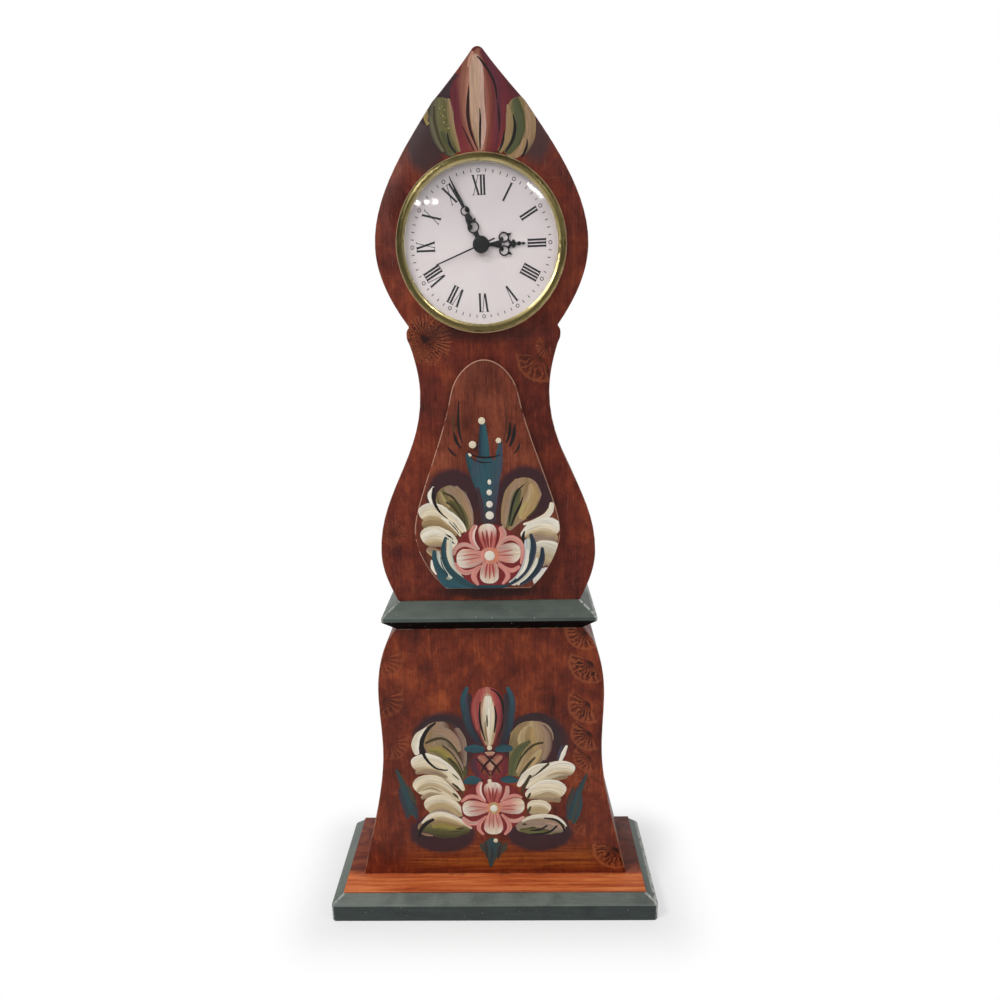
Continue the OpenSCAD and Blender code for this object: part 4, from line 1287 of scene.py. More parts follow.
WAIST_STROKES = """
teal teal navy|2.6 4.4 5.6 6|-1.3,295.5 -1.1,289 -.9,282 -.8,275
teal deep|2.4 4.6 5.4 4|-9.6,278.6 -8,272.5 -5.6,266 -2.6,257
slate teal|2 4 5 4|8,284.5 7.2,277 6.3,270 4.2,260
teal teal slate > slate teal teal > grape grape grape|8 15 13.5 10 8 7|-.5,277 -.6,271 .3,263 1,254 1,246 \
1,239
grape|1.4 2.4 1.4|-4.6,260 -3,250 -2.6,241
soot|.3 1.1 1.1 .4|-9.6,280 -6,277 0,276 5,276.5 7.8,277.6
soot|.3 .8 .3|-8.4,276 -3,273.6 3.4,273.2
soot|.3 .9 .4|-6.4,279 -4.6,281.6 -4.2,285
cream|1 1.5|-9,278.4 -7.8,276.8
halo shade tan olive tan > shade tan olive olive|9 18 15.5 9 5|-20.8,261 -19.2,254.5 -15.6,247 -11.6,240.5 \
-9.6,236
shade fawn tan|2 4.2 4.2 2.4|-16.6,260.6 -12.2,254 -9.6,246.5 -8.6,238.6
straw tan olive|2.6 4.4 3|-25.6,257.6 -24,252.4 -20.4,248.6
fawn shade|2 3 1.4|-22.6,259.8 -19.6,258 -17.4,255.4
olive moss olive|1.6 5 4.6 2.2|-20,252.8 -15.8,248.8 -12.7,243 -11,237.2
dusk|.7 1.4 1 .8 .5|-23.6,257.2 -19,255.2 -16,251.6 -13.2,246 -11.6,239.5
dusk|.9 1.7 1.2 1.2 .6|-22,252 -18.6,249.8 -15.4,245.6 -12.8,240.4 -11.6,236.4
ivory|1 2.7 1.8|-28.2,260.6 -30.4,256 -29.8,251.5
ivory cream cream sand sand|8.6 11 10.6 8 5 2.4|-36,243.6 -31.5,246 -26,245.4 -20.6,242 -16.2,238 -13,234.8
sand tan tan olive|4 6 5.6 4 2|-35.4,239.2 -30.6,240.2 -25.4,239.6 -20.6,236.6 -16.8,233
ivory cream|1.8 3 2.6 1|-24.6,248.4 -18.6,244.4 -13.6,239.2 -11.6,235
ivory cream|1 2.2 2 .9|-25,243.4 -20,239.8 -16.6,236 -14.6,232.6
cream ivory cream sand shade|9 12 12 9.6 6 3|-35,229.6 -31,232.4 -26.4,232.4 -22.4,230.2 -19,226.8 -17.6,224
tan shade sand|3.6 5.4 4|-33,226.2 -29,223.4 -25,222.6
ivory cream|1.4 2.6 2 1|-26,237 -21,234.4 -17.6,230.8 -16,227
dusk|.3 .8 .4|-20.8,241.2 -17.2,237 -15.4,234.2
dusk|.3 .6 .3|-18.4,240.6 -15.6,236.4
soot|.8 1.9 1.6 1 .4|-28.4,260.4 -28.6,254 -27,249 -24.4,245.4 -21.2,242.6
soot|.4 1.1 .4|-22.7,234 -20.6,232.6 -18.6,231
soot|.4 1.1 .4|-22.4,231.8 -20,230.2 -18,228.2
fawn tan tan fawn shade > shade tan olive tan shade|9 19 17 10 5|20.5,265 20,256.5 17,248 12.6,241 10,236
olive fern olive|2.4 6.4 6.2 3.4|17.8,259 15,252.6 13.2,246.4 12.2,238
shade fawn tan|2.6 4.6 4.6 3|17,264 12.4,257.6 10.2,249 9,239
tan honey sand fawn|3 8 8.6 4|24,261.6 24.8,255.6 22,248.4 18,242
honey straw|2 4 2|21.6,251.5 19.6,247.4 17.8,243.6
soot|.4 1.1 1.2 1 .4|20.4,261.4 16.6,257.6 14.3,252 12.9,246 12,240
soot|.3 1.4 1.3 .6|19.5,254.4 18,250 15.1,244 12.8,238
dusk|.2 .9 .6|28.6,252.6 25.8,247 21.2,242.4
ivory cream|2.2 3.4 3.4 2 1.2|35,251.2 34.4,247 31.2,243 25,240.6 19.5,239
shade shade sand|5 8 8 5|38,229.6 33,231.4 27,231.4 21.6,230
shade sand cream ivory ivory|9.5 11.8 10.4 7 3|38.6,234.4 34,236.8 28.5,237.2 23,235.4 18.5,232
sand stone ivory lilac|6 10 10.4 6|34.4,213.4 31.6,209.6 28.4,206.8 25,205.2
shade sand stone ivory|11 16 13.6 7|37.8,218.2 33.8,221.6 28.6,223 24,221.4
lilac ivory|2.4 4.6 3|34.6,213 31.6,208.6 28,205.8
stone mist lilac|5 7.6 7.6 5|22.6,231 22.6,221.4 19.2,212 12,205
mist ivory|1.2 2.8 2.4 1.2|27,220 25.6,213.6 21.4,207.6 16,204.4
soot|.6 1.9 .9|20.2,235.4 19.4,232 19.6,228
slate navy deep|1.6 3.4 3.4 3 2.4 1.2|23.4,233.8 25,227.6 24.2,220.6 21.2,213.4 16.2,207.6 11,204.2
slate navy navy|1.6 3.2 3.2 2.6 1.4|29.8,226 29.7,219.6 27.4,213.4 22.8,207.8 17.4,204.2
ivory|.8 1.8 1.6 .8|21.8,225 21.6,219 19.6,213 15.4,208
deep teal teal|6.4 9.6 8.6 6|-26.4,213.4 -22,207.6 -14,204.6 -6,203
mist mist sage|1.4 4 5.4 5|-27.4,224.6 -27,218 -24.6,212.6 -20,208.6
deep teal|1.6 3.2 3.8 4.4|-29.4,225 -29.2,219 -26.8,213.4 -23,209
slate|.3 .8 .4|-26,221 -25,215.6 -22.6,211.4
ivory|.8 1.9 .8|-31,219.4 -30.6,214.6 -28.6,210.8
mist cream|1.6 3.4 3.2 2.4 1.4|-20,232 -21,225 -20,217 -16.4,211 -9,205.2
teal deep deep|1.4 2.8 3.2 3.6 4 3|-22.6,232.6 -24.2,226 -23.6,219 -20.8,213 -15,207.4 -8,203.8
red|12 22.6 30.2 34.6 37 37.8 37 34.6 30.2 22.6 12|.5,239.8 .5,202.6
deep navy|1.6 2.4 2.4 1.4|-9,203.7 -2,203.3 5,203.3 11,203.8
wine|.5 1.6 .6|-14.6,231.6 -10,235.4 -6,237
ivory pink coral|2 3.3 2.8 1.4|-6,239 -8.4,234.6 -8,229.4 -4.8,224.8
blush pink coral|2.6 3.8 3 1.6|7,238 8.7,234 7.6,229.6 4.8,225.4
pink blush coral|1.6 2.8 2.4 1.4|-18.9,222 -16.9,226.4 -12,228 -5.6,225.2
coral pink blush|1.8 2.9 2.8 1.3|-18.2,217.6 -15.6,213.4 -11.6,211.8 -7,213.8
pink blush coral > pink|1.2 2.5 3 2.8 2.4 1.4|5.4,226 9.4,230.6 14.2,231.4 18.1,228 18.9,222 18.2,216.4
pink coral|.9 2.2 2.8 1.8|5,218.4 8.8,214.6 13.2,212.8 17.6,215.2
coral pink|1.2 3 3.2 1.4|-3.2,216 -6.9,213 -8,209 -5.6,204.4
coral pink|1.2 2.8 2.8 1.3|5,216.4 9.4,213.4 10.8,209.2 7.8,204.8
ivory ivory cream > rose coral rose > rose coral rose|8.6 9.8 9.4 7 4.6|-.2,239.6 0,236 .2,232 .6,228 \
1,223.5
rose red rose|.5 1.7 .7|-2.8,235.4 -2,231 -.6,226
rose red|.5 1.7 .7|-.4,236 0,231 .6,225.4
rose red|.5 1.5 .7|2.4,235.6 2.2,231 1.6,225.6
cream ivory ivory > coral blush blush > coral|9 11.2 10.6 7.6 4.4|-17.2,220 -13,219.9 -8.4,220.2 \
-4.4,220.8 -.6,221.3
rose coral|.4 1.2 .6|-13.6,221.6 -9,222 -4,221.6
rose coral|.4 1.3 .6|-14,219 -9,219.6 -4,220.6
coral|.4 1.3 .6|-12,216.8 -8,218.2 -4,220
ivory cream ivory > coral blush blush > coral|9.2 11.6 10.8 7.6 4.4|17.9,222.7 13.2,222.9 8.6,222.6 \
5,222.2 1.6,221.8
rose coral|.4 1.2 .6|13.6,224.6 9,223.8 5,222.8
rose coral|.4 1.3 .6|14,221.6 9,221.8 5,221.8
coral|.4 1.2 .6|12.6,219.4 9,220.4 5,221
ivory cream ivory > blush coral blush > coral|8.8 10.4 10.2 8 4.6|.5,205.4 .6,209 .8,213.4 .9,217 1,220.5
rose|.4 1.3 .6|-1.6,208.6 -1,213.6 0,219
rose|.4 1.3 .6|.8,208 .9,213.4 1,219
rose|.4 1.3 .6|3.2,208.8 2.8,213.6 2,219
glow coral|9.4|1.1,226.2 1.1,216.8
soot|.5 1.2 1.2 .6|-13.4,306 -13.9,298 -13.8,291 -12.2,283.6
dusk|.4 .8 .4|-16.4,300 -16.4,290 -13.6,282.6
soot|.5 1.7 .7|-16.4,290 -15.2,284.6 -12.8,281
soot|.5 1.3 .6|-19.8,281.6 -17.6,278.6 -15.4,276.8
umber|.4 1.1 .5|10.3,306 11.2,298 10.8,290 9.5,285
soot|.5 1.8 .8|13.2,295 12.8,289 11,283.6
soot|.6 2.2 1|15.6,293.6 14.8,287 12.8,281.6
soot|.4 1.2 .5|18.3,284 17.2,280.6 15,277.8
"""

WAIST_DOTS = """
cream -1.7 295.5 1.9 1.9
cream -6.8 283 2 2
cream 6.9 285 1.5 1.5
ivory 1.7 262.7 1 1.5
ivory 1.5 257 1.5 1.6
ivory 1.5 250.5 1.8 1.9
ivory 1.5 244.3 2.3 2.3
ivory 1 221.5 2.9 2.9
"""

LOWER_STROKES = """
leafage|1.4 4.2 2|-8.4,36.5 -6.4,33 -4,29.4
leafage|1.4 4.2 2|7.6,36.5 5.6,33 3.4,29.4
leafage deep leafage|4 12 9.6 4.6 1.6|-.9,40.6 -1,36 -1.2,30.6 -1.8,25 -2.4,19.6
halo leafage|.8 2.6 .6|-5.6,38.6 -5.4,33 -4.4,25.6
leafage halo|.8 2.8 .6|4.4,38.4 4,32.6 2,24.6
navy leafage|.6 2.4 .6|-1.4,34 -1.6,29 -2.2,23
leafage deep leafage|1.4 3.4 5.6 7 4.6|-57.4,88.6 -54.8,81 -52.4,73.4 -50.2,65.6 -48.6,56.6
deep grape|1.6 4.4 4 2|-55.6,76.6 -54.4,68.6 -52.8,60.6 -52,54.6
leafage|1 3.4 1.6|-50.6,77 -49,70.4 -46.6,63.4
grape deep|1.2 4.2 2|-49,66.4 -47.4,60.4 -46.4,54
leafage deep grape|1.4 3.2 5.6 7.4 5|56,84.6 53,77 50,69.4 47.6,61.4 46,52.6
deep leafage|1.4 4.2 4.4 2|52.6,70.6 51.4,63 49.6,55.6 48,50
leafage grape|1 3.4 2.4|48,76 46.4,68.6 44.4,60.6
halo grape|3 6 6 5 3|-13,138 -13,128 -12,118 -9.6,110 -6,103.6
halo grape|3 5.4 5.6 4.6 3|9,138 9.4,128 9,118 7.4,110 5,104
slate teal deep > navy halo|2.2 4.2 4.4 4.2 3|-13.4,142.2 -15.8,135 -15.2,125.6 -13.2,115.6 -8.4,105.6
slate teal deep > navy halo|2.2 4 4.2 4 2.8|9.4,142 12,134.6 11.6,125 9.8,115 6,105.6
halo|2 5 6 5.6 3.6 1.6|-42.6,103 -40,114 -32,120.8 -23.6,118.6 -17.4,112 -15.4,104
halo|2 5 6 6 4 1.6|13.4,112 17.6,119.6 25.6,122.4 33.6,117.6 38.4,108 38.8,98
grape umber shade fawn shade > grape moss olive olive olive|19 25.6 24 16 5|-28.6,120 -28.8,110.5 \
-26,100.5 -21.2,91.6 -17,82.6
shade umber|4 6 5 3|-21.4,115.6 -18.4,108 -17.4,99 -17.2,90
shade tan tan|4 7 7|-34.6,114 -37.2,106.6 -34,99.6
shade fawn shade|3 6.4 6 3|-33,114.6 -27.4,113 -22.4,107.4 -19.2,100
tan ochre olive|3 6.4 6.4 4.6 2|-37.6,101.6 -32,101.6 -26.6,97.6 -22,90.6 -18.2,84
shade fawn|1.4 3 2.8 1.4|-28.4,104.4 -23.4,99.4 -19.6,93 -17.8,87
olive moss|1.4 3.4 3.2 1.6|-26.6,96.2 -22.8,91.4 -19.8,86 -18,81.6
ivory cream|1 3.6 4.8 2.8|-38,116.2 -43.4,110.6 -45.3,104 -44.4,98
dusk|1.2 2 1.5 1.3 1.1 .8 .4|-39.4,105.6 -35.2,107.8 -30.4,109 -26,107.4 -22,102.4 -19,96 -17.6,91.6
dusk|1.2 1.1 .8 1 .5|-29.2,104.2 -25,100.4 -21.6,95.4 -18.8,89.4 -17.4,84.4
dusk|1.6 1.5 1.2 .8|-25.6,95.8 -22,91 -19.2,85.6 -18.4,81
shade fawn sand tan tan > olive tan olive olive olive|19 25.6 24 17 6|23.6,120 23.6,110.5 21.2,101 \
17.4,91.6 13.2,83.6
umber shade fawn|3 4.4 4.4 3|29.4,117 33,110.6 33.2,102 30.4,94
honey tan sand|6 11 11 8 4|22.4,116.4 20.4,108.6 22,100 19.6,92 15.4,84.6
olive fern olive|2 5 6 5 3|22.6,107 16.8,102 13.2,95.4 11.6,88.6 11,83
honey sand tan|3 6.4 6 3|28.6,101.6 24.6,95.6 20.4,89 17.2,84
dusk|1.3 1.6 1.5 1.2 .6|30.4,105.8 25,104.4 20.4,100.4 16.4,94.4 13.8,87.6
dusk|1.1 2 1.7 .8|25.5,96.2 21.5,91.4 17.4,85.2 15,80
ivory cream ivory > cream|2 5 5.4 4 2|-39.8,98.8 -33.2,94.6 -26.6,89 -21,81.6 -17.4,73.6
ivory cream cream sand shade > ivory cream cream cream sand|9 13 12.6 9 6 2.6|-47.6,90 -43,92 -37,92 \
-31,88.8 -25.2,82.8 -19.6,74
sand shade tan|2.4 4 3.6 2|-46,86 -40,87.2 -33,86.2 -27,82.6
soot|1 2.2 2.5 2.1 1.6 1.2 .8|-32.6,119.4 -37.6,114.8 -40.9,108 -41.4,101.4 -39,95 -34.4,89.6 -30,87.9 \
-26.4,87.8
cream cream sand cream sand|11 14.4 14 10 6.6 2.6|-45.6,73 -41.5,76.6 -36,77.6 -30,75 -24,70.6 -19.8,66.8
sand shade tan|2 4.4 4 2|-43.4,68.6 -38,70.6 -32,69.6 -26.6,66.4
shade sand|.6 1.4 .8|-42.4,74 -37,75.4 -31,73
cream cream sand sand shade|9 12.6 12.6 10.6 7.6 5|-40.2,60.6 -36,63.6 -31,64.8 -26,63 -21.6,59.6 -18.4,56.6
sand shade tan|2 4 4 3|-38.6,57.6 -33.6,60 -28.4,59.6 -23,56.4
shade tan olive moss dusk|6 13 16 13 5|-46,46.4 -40,48.2 -32,48.4 -24,47.6 -14,47
tan ochre olive|3 6 6 3|-37.6,48.6 -32,49.4 -26.4,48.4 -20.6,47.2
grape fawn|1.4 3 1.6|-44.6,44.4 -41,43.6 -37,42.6
ivory cream sand|1.6 4.6 4.8 4.2 3 1.4|-43.6,51 -37,56 -31,57 -24,54.6 -17.4,50.6 -13.4,47.2
sand tan|1 2.6 2.2 1|-39,52 -33,53.6 -26,52.2 -19,49.4
soot|1 2.4 2.5 1.8|-45.6,41 -44.6,46 -41,51 -36,54.2
dusk|.7 1.5 1|-23.4,46.8 -18.2,47.4
dusk|.4 1 .6|-27.4,44.8 -20.6,45.3
dusk|.6 1.3 1 .6|-34.6,43 -30,41.6 -24.6,41.6 -20.6,43.4
olive|.5 1.1 .5|-24,85.4 -20,81
dusk|1 1.8 1.2 .6|-24.3,78.8 -21.4,76 -18.8,72.6 -17.6,70
dusk|.8 1.5 .7|-24,72.2 -22,70 -20.8,68.6
ivory|1.4 2.8 1.8|44,103.8 42,98.4 39.8,92.4
slate|.8 1.6 .8|41.2,104 39.8,99 38.6,94
ivory cream ivory|1.4 4.4 5 2.4|33,91.4 26.2,89 19.6,83.4 15,76.2
tan shade|3.4 6 5.6 3|44.6,83.4 37,82.6 30,80 24,77
shade sand cream ivory ivory > cream|7.6 10 10.6 9 6 2.4|48.4,86.2 43,88.4 37,87.8 30.4,84.4 24,79.4 \
19.4,75.4
dusk|1.4 1.5 .9 .4|33.6,91.8 30.2,88.6 26,84.6 22.6,82
sand shade|.5 1.2 .6|44,85 38,85.2 32,83
tan shade|3 5.4 4.6|40.6,66.4 34,68 27,67.4
shade sand cream cream ivory|10 13.8 13.4 9.6 4.4|42,70.2 38,73.2 32,74.2 26,72.6 19.6,69.4
sand shade|.5 1.3 .7|38.6,70 33,71.6 26.6,70
shade sand sand cream cream|7.4 10.4 11 9.4|33.4,58.4 30,61 26,61.6 20.6,60.4
tan shade shade shade olive|6 12.4 14.4 12.8 5.4|13.6,47.4 20,49.4 28,49.8 36,49 43.4,46.8
moss olive olive|2 4.6 5 3|15.6,46 21,45.6 28,45 34,44.6
shade fawn blush|1.4 3.4 3.4 1.6|31,51.6 36,51.4 40,49.4 42.4,46.4
cream ivory sand|1.4 3 3.4 3 1.6|17,52 23,54.8 31,55.6 38,54.2 43,50.2
ivory|.6 1.1 .7|36,55.3 41,53 44.2,48.4
dusk|.7 1.6 1|17.2,50.1 20,50
dusk|.6 1.4 .6|21,47.3 25.4,48
soot|.5 1.3 1.4 1|22,45.6 28,46.2 32.6,49.2
soot|.4 1.3 1.5 1.1|22,43.2 30,43.4 35,45.4 38.6,49.2
soot|.8 1.5 1.6 1|30.4,54.4 37,53.2 41.4,49.6 43,44
dusk|1.6 2.2 1.2|22.6,84.2 20,79 17.2,72.6
dusk|1 1.7 .8|22.4,72 20.5,67.4
dusk|1 1.7 .9|22.6,62.6 20.3,57.4
wine rose salmon rose wine > maroon rose salmon rose maroon > wine clay salmon clay wine|10 17.6 19.4 17.4 \
11 5|-2,142 -2.2,134.6 -2.4,125 -2.2,115 -2,108 -1.8,103.4
clay rose wine|1.4 2.8 2.8 1.6|-6.4,140.6 -9.8,133 -10.3,124.6 -8.4,114
salmon peach peach salmon > sand|3.6 8.6 10 8.6 4|-1.9,138 -2,130 -2.1,121 -2,112 -1.7,104
cream ivory cream > sand cream tan|3.8 6.6 7.6 5.4 2.4|-1.8,136.4 -1.7,129 -1.7,122 -1.9,113 -1.7,104.4
tan|.5 1.2 .6|-3.8,120 -3.4,112 -2.2,105.4
soot|.6 1.4 1.4 .7|-.4,141 4,137.6 6.6,131.4 7,124
ink|.4 1 .5|6.9,123.4 6,116 3.6,109
soot|.6 1.3 1.3 .6|-6.3,132.6 -6.9,124 -6.1,116 -3.8,106.6
soot|.6 1.5 .8|2,130 2.7,122.6 1.5,112.4
dusk|.5 1.1 .6|-2.6,124 -2.5,116.4
maroon wine maroon wine maroon|7 13.4 17.8 20.4 21.6 22 21.6 20.4 17.8 13.4 7|-1.4,101.4 -1.4,79.8
plum grape > plum|3 4 2.6|-10.4,95.6 -11,89.6 -8,83.6
rust salmon rust|2.6 5.6 3|-8.4,96.8 -5.4,94.8 -3.6,91.4
peach salmon|2.4 4.4 2.4|-4.2,98 -1.4,99.4 1.4,98.2
rust salmon rust|2.6 5.4 3|5.6,97.2 3.2,94.8 1.2,91.6
peach salmon|2.6 5.4 2.4|-1.3,95.4 -1.3,91.4 -1.3,87.4
brick|2 3.4 1.6|-6.6,90 -5,86.6 -3.6,84.4
brick|2 3.4 1.6|4.6,90 3.2,86.8 1.6,84.6
brick rust|2 3.2 1.4|-1.2,86.6 -1.2,83.6 -1.2,81.6
ink|.6 1.4 1.4 .6|-5.2,99.6 -1.2,94.2 2.4,89.6 4.6,85.6
ink|.6 1.4 1.4 .6|2.4,99.4 -1,95 -4.8,90.4 -6.8,86
ink|.5 1.2 .6|-9.8,95.8 -6.8,92 -3.6,87.4 -1.6,83.4
ink|.5 1.2 .6|7.2,95.8 4,92 1,87.6 -.8,83.6
ink|.4 1.1 .4|-8,99 -1.4,100.6 5,99
teal deep|2.6 5.8 3.4|-16.4,101.6 -11,102 -4.4,101.2
teal deep|3 5.4 3|12.2,101.8 7,102.2 1.6,101.2
teal deep|2.6 6.4 3|-17.6,79.2 -12.6,80.8 -6.8,80
teal deep|2.6 5.6 2.6|14.8,80.2 9.8,81.2 4.6,80.4
red|12 22.8 30.4 35 37.4 38.2 37.4 35 30.4 22.8 12|-.5,81 -.5,43.2
ivory pink coral|2 3.4 3 1.6|-7,79.8 -8.5,75.4 -7.8,70.8 -5,66.4
blush coral|2 3 2.6 1.4|8.6,77 8.4,72.6 6.8,68.6 4.6,66
coral pink coral|1.6 2.8 2.4 1.2|-19.2,66 -15,69.4 -10,69.4 -4.4,66
coral blush pink|1.8 3 2.8 1.3|-18.8,55.4 -14.6,51.4 -9.8,51.4 -5.6,55
pink|.8 1.6 .9|-19,53.4 -15.6,50.2 -13.4,48
coral pink|1.2 2.2 2.4 1.4|5.4,66.8 9.4,69.4 14,70.2 17.4,68.6
coral blush pink|1.2 2.4 3 1.8|4.8,57.4 8.8,53.6 13.6,52.6 18.6,55.4
coral pink|1.2 2.6 2.6 1.3|-4,56.2 -8,52 -9,47 -6.2,42.8
coral pink|1.2 2.8 3 1.5|4.8,57.4 8.7,52.4 9.5,47.2 6.4,42.8
ivory ivory cream > rose coral rose > rose|9 10.8 10.4 7.6 4.6|0,79.4 0,75.8 0,71.6 0,67.6 0,64
cream ivory ivory > coral blush blush > coral|9 11 10.4 7.4 4.4|-18.6,61.2 -14.2,61.4 -9.4,61.6 -5,61.8 \
-1.4,61.8
ivory cream cream > blush coral coral > coral|9 11.2 10.4 7.4 4.4|18.8,63 14,63 9.2,62.6 5,62.2 1.4,62
ivory cream ivory > coral blush coral > coral|9.2 11.6 11 8 4.8|-.2,43.2 -.1,47.6 0,52.4 .1,56.6 .2,60
rose red|.5 1.6 .7|-2.6,75.6 -1.8,71 -.8,66
rose red|.5 1.6 .7|0,76 0,71 .2,65.6
rose red|.5 1.6 .7|2.6,75.6 1.8,71 .8,66
coral rose|.4 1.3 .6|-14.6,59.4 -9.6,60.2 -4,61.4
coral rose|.4 1.2 .6|-14.6,63 -9.6,62.8 -4,62.2
rose coral|.5 1.7 .8|13.6,60.6 9,61 4.6,61.4
rose coral|.5 1.5 .7|13.8,63.6 9,63.2 4.6,62.6
coral|.4 1.2 .6|12.6,66 9,64.8 4.6,63.2
rose coral|.4 1.4 .6|-3,48 -2.2,53 -1,58.6
rose coral|.4 1.4 .6|0,47.4 0,53 .2,58.6
rose coral|.4 1.4 .6|3,48 2.4,53 1.2,58.6
glow straw glow|7.8|.3,65.6 .3,57.8
"""

LOWER_DOTS = """
cream -1.5 102.6 1.5 1.6
cream -1.8 80.2 1.3 1.3
cream 1 38.7 1.4 1.4
ivory .3 61.5 2.4 2.4
"""


@dataclass
class PaintedCase:
    """The two-part case with its base board, ledge and brush work."""

    frame: dict[str, Any]
    ease: float = 0.6
    soft_ease: float = 0.3
    panel_ease: float = 0.7
    moulding_ease: float = 0.5
    moulding_turn: float = 20.0
    lower_fans: tuple[Fan, ...] = (
        Fan(54, 176, 11, 235, 85, 8, 0.9), Fan(58, 157, 13, 225, 80, 8, 0.9),
        Fan(57, 131, 12.5, 215, 85, 8, 0.85), Fan(58, 112, 11.5, 215, 85, 8, 0.85),
        Fan(58, 96, 10, 215, 85, 7, 0.75, 0.35),
        Fan(57, 81, 8, 215, 85, 7, 0.5, 0.25), Fan(56, 53, 11, 200, 80, 6, 0.4, 0.5),
        Fan(75, 33, 14.5, 235, 80, 9, 1.0, 0.8), Fan(-62, 160, 12, -40, 80, 7, 0.45, 0.25),
        Fan(-63, 135, 12, -40, 80, 7, 0.5, 0.25), Fan(-60, 106, 11, -40, 80, 7, 0.45, 0.25))
    upper_fans: tuple[Fan, ...] = (
        Fan(-29.5, 337, 12, 0, 180, 14, 0.95, 0.0, 0.7), Fan(30, 328, 13, 240, 75, 8, 0.6, 0.7),
        Fan(-52, 233, 7, 0, 180, 9, 0.45, 0.0, 0.6), Fan(33, 333, 6, 200, 80, 8, 0.7, 0.0))

    def build(self) -> None:
        """Makes and dresses the boards, the mouldings and the paintings."""
        self.boards()
        self.mouldings()
        self.paintings()

    def boards(self) -> None:
        """Eases and stains the boards."""
        lower = StainFinish("lower board stain", gold=(-48.0, 62.0, 15.0, 36.0), fans=self.lower_fans, halos=(
            DarkOval(-28, 106, 19, 20), DarkOval(25, 106, 20, 19), DarkOval(-31, 44, 20, 14), DarkOval(28, 44, 20, 13),
            DarkOval(-2, 108, 11, 12, "4b2830", 0.5, 0.3)))
        # The ovals at z 341 and z 199.6 are painted shadows, below the bezel and below the waist panel; the
        # other two are the painter's dark washes.
        upper = StainFinish("upper board stain", "441814", "6e2b1e", "944429", fans=self.upper_fans,
                            streaks=0.25, halos=(
            DarkOval(-26, 429, 9, 13, "3e2f31", 0.9, 0.3), DarkOval(27, 434, 8, 14, "4b3232", 0.9, 0.3),
            DarkOval(0, 341, 26, 5, "3c1f1c", 0.7, 0.5), DarkOval(0.5, 199.6, 27, 4.2, "1c0e0d", 0.8, 0.4)))
        # The panel's strong pale rim is partly wear and partly a painted highlight along its edge.
        panel = StainFinish("panel stain", "54251a", "793928", "985036", streaks=0.5, wear=0.85,
                            wear_from=0.42, worn="c49a84", halos=(
            DarkOval(-18, 255, 14, 15), DarkOval(21, 256, 15, 15), DarkOval(1, 246, 9, 18, "3a262c", 0.8, 0.3),
            DarkOval(0, 226, 38, 26, "46231f", 0.35, 0.3)))
        # The side boards' stain is darker than the fronts' as painted shade on the sides
        side = StainFinish("side stain", "431a15", "5e271d", "7a3622", streaks=0.4)
        back = StainFinish("back stain", "5a3322", "7b4a30", "966240", streaks=0.6, worn="c4a080")
        plan = ((lower, self.ease, ("lower_front",)), (upper, self.ease, ("upper_front",)),
                (panel, self.panel_ease, ("waist_panel",)),
                (side, self.soft_ease, ("lower_side_left", "lower_side_right", "upper_side_left",
                                        "upper_side_right")),
                (back, self.soft_ease, ("lower_back", "upper_back")))
        for finish, ease, nodes in plan:
            material = finish.make()
            slot = Slot.BARE_WOOD if finish is back else Slot.STAINED_WOOD
            for node in nodes:
                piece = eased_copy(self.frame["nodes"][node], f"{node}_board", ease)
                seat(coat(piece, material), "case", slot, node)

    def mouldings(self) -> None:
        """Eases and paints the ledge and the base board."""
        ledge = MouldingFinish("ledge paint", "535c56", "434c47", "636b64", corner=51.0, crest=59.9,
                               mitre=39.35).make()
        base = MouldingFinish("base paint", "414a47", "303836", "767d76", brown_above=13.85).make()
        for node, finish in (("ledge", ledge), ("base", base)):
            piece = eased_copy(self.frame["nodes"][node], f"{node}_moulding", self.moulding_ease,
                               self.moulding_turn)
            seat(coat(piece, finish), "case", Slot.PAINTED_WOOD, node)

    def paintings(self) -> None:
        """Paints the head, the waist panel and the lower board."""
        kit = BrushKit()
        dots = DotKit()
        finish = BrushFinish("brush paint").make()
        for painting in (Painting("head_painting", "upper_front", HEAD_STROKES, HEAD_DOTS),
                         Painting("waist_painting", "waist_panel", WAIST_STROKES, WAIST_DOTS),
                         Painting("lower_painting", "lower_front", LOWER_STROKES, LOWER_DOTS)):
            painting.build(self.frame, kit, dots, finish)
        bpy.data.objects.remove(kit.sheet)
        bpy.data.objects.remove(dots.dome)


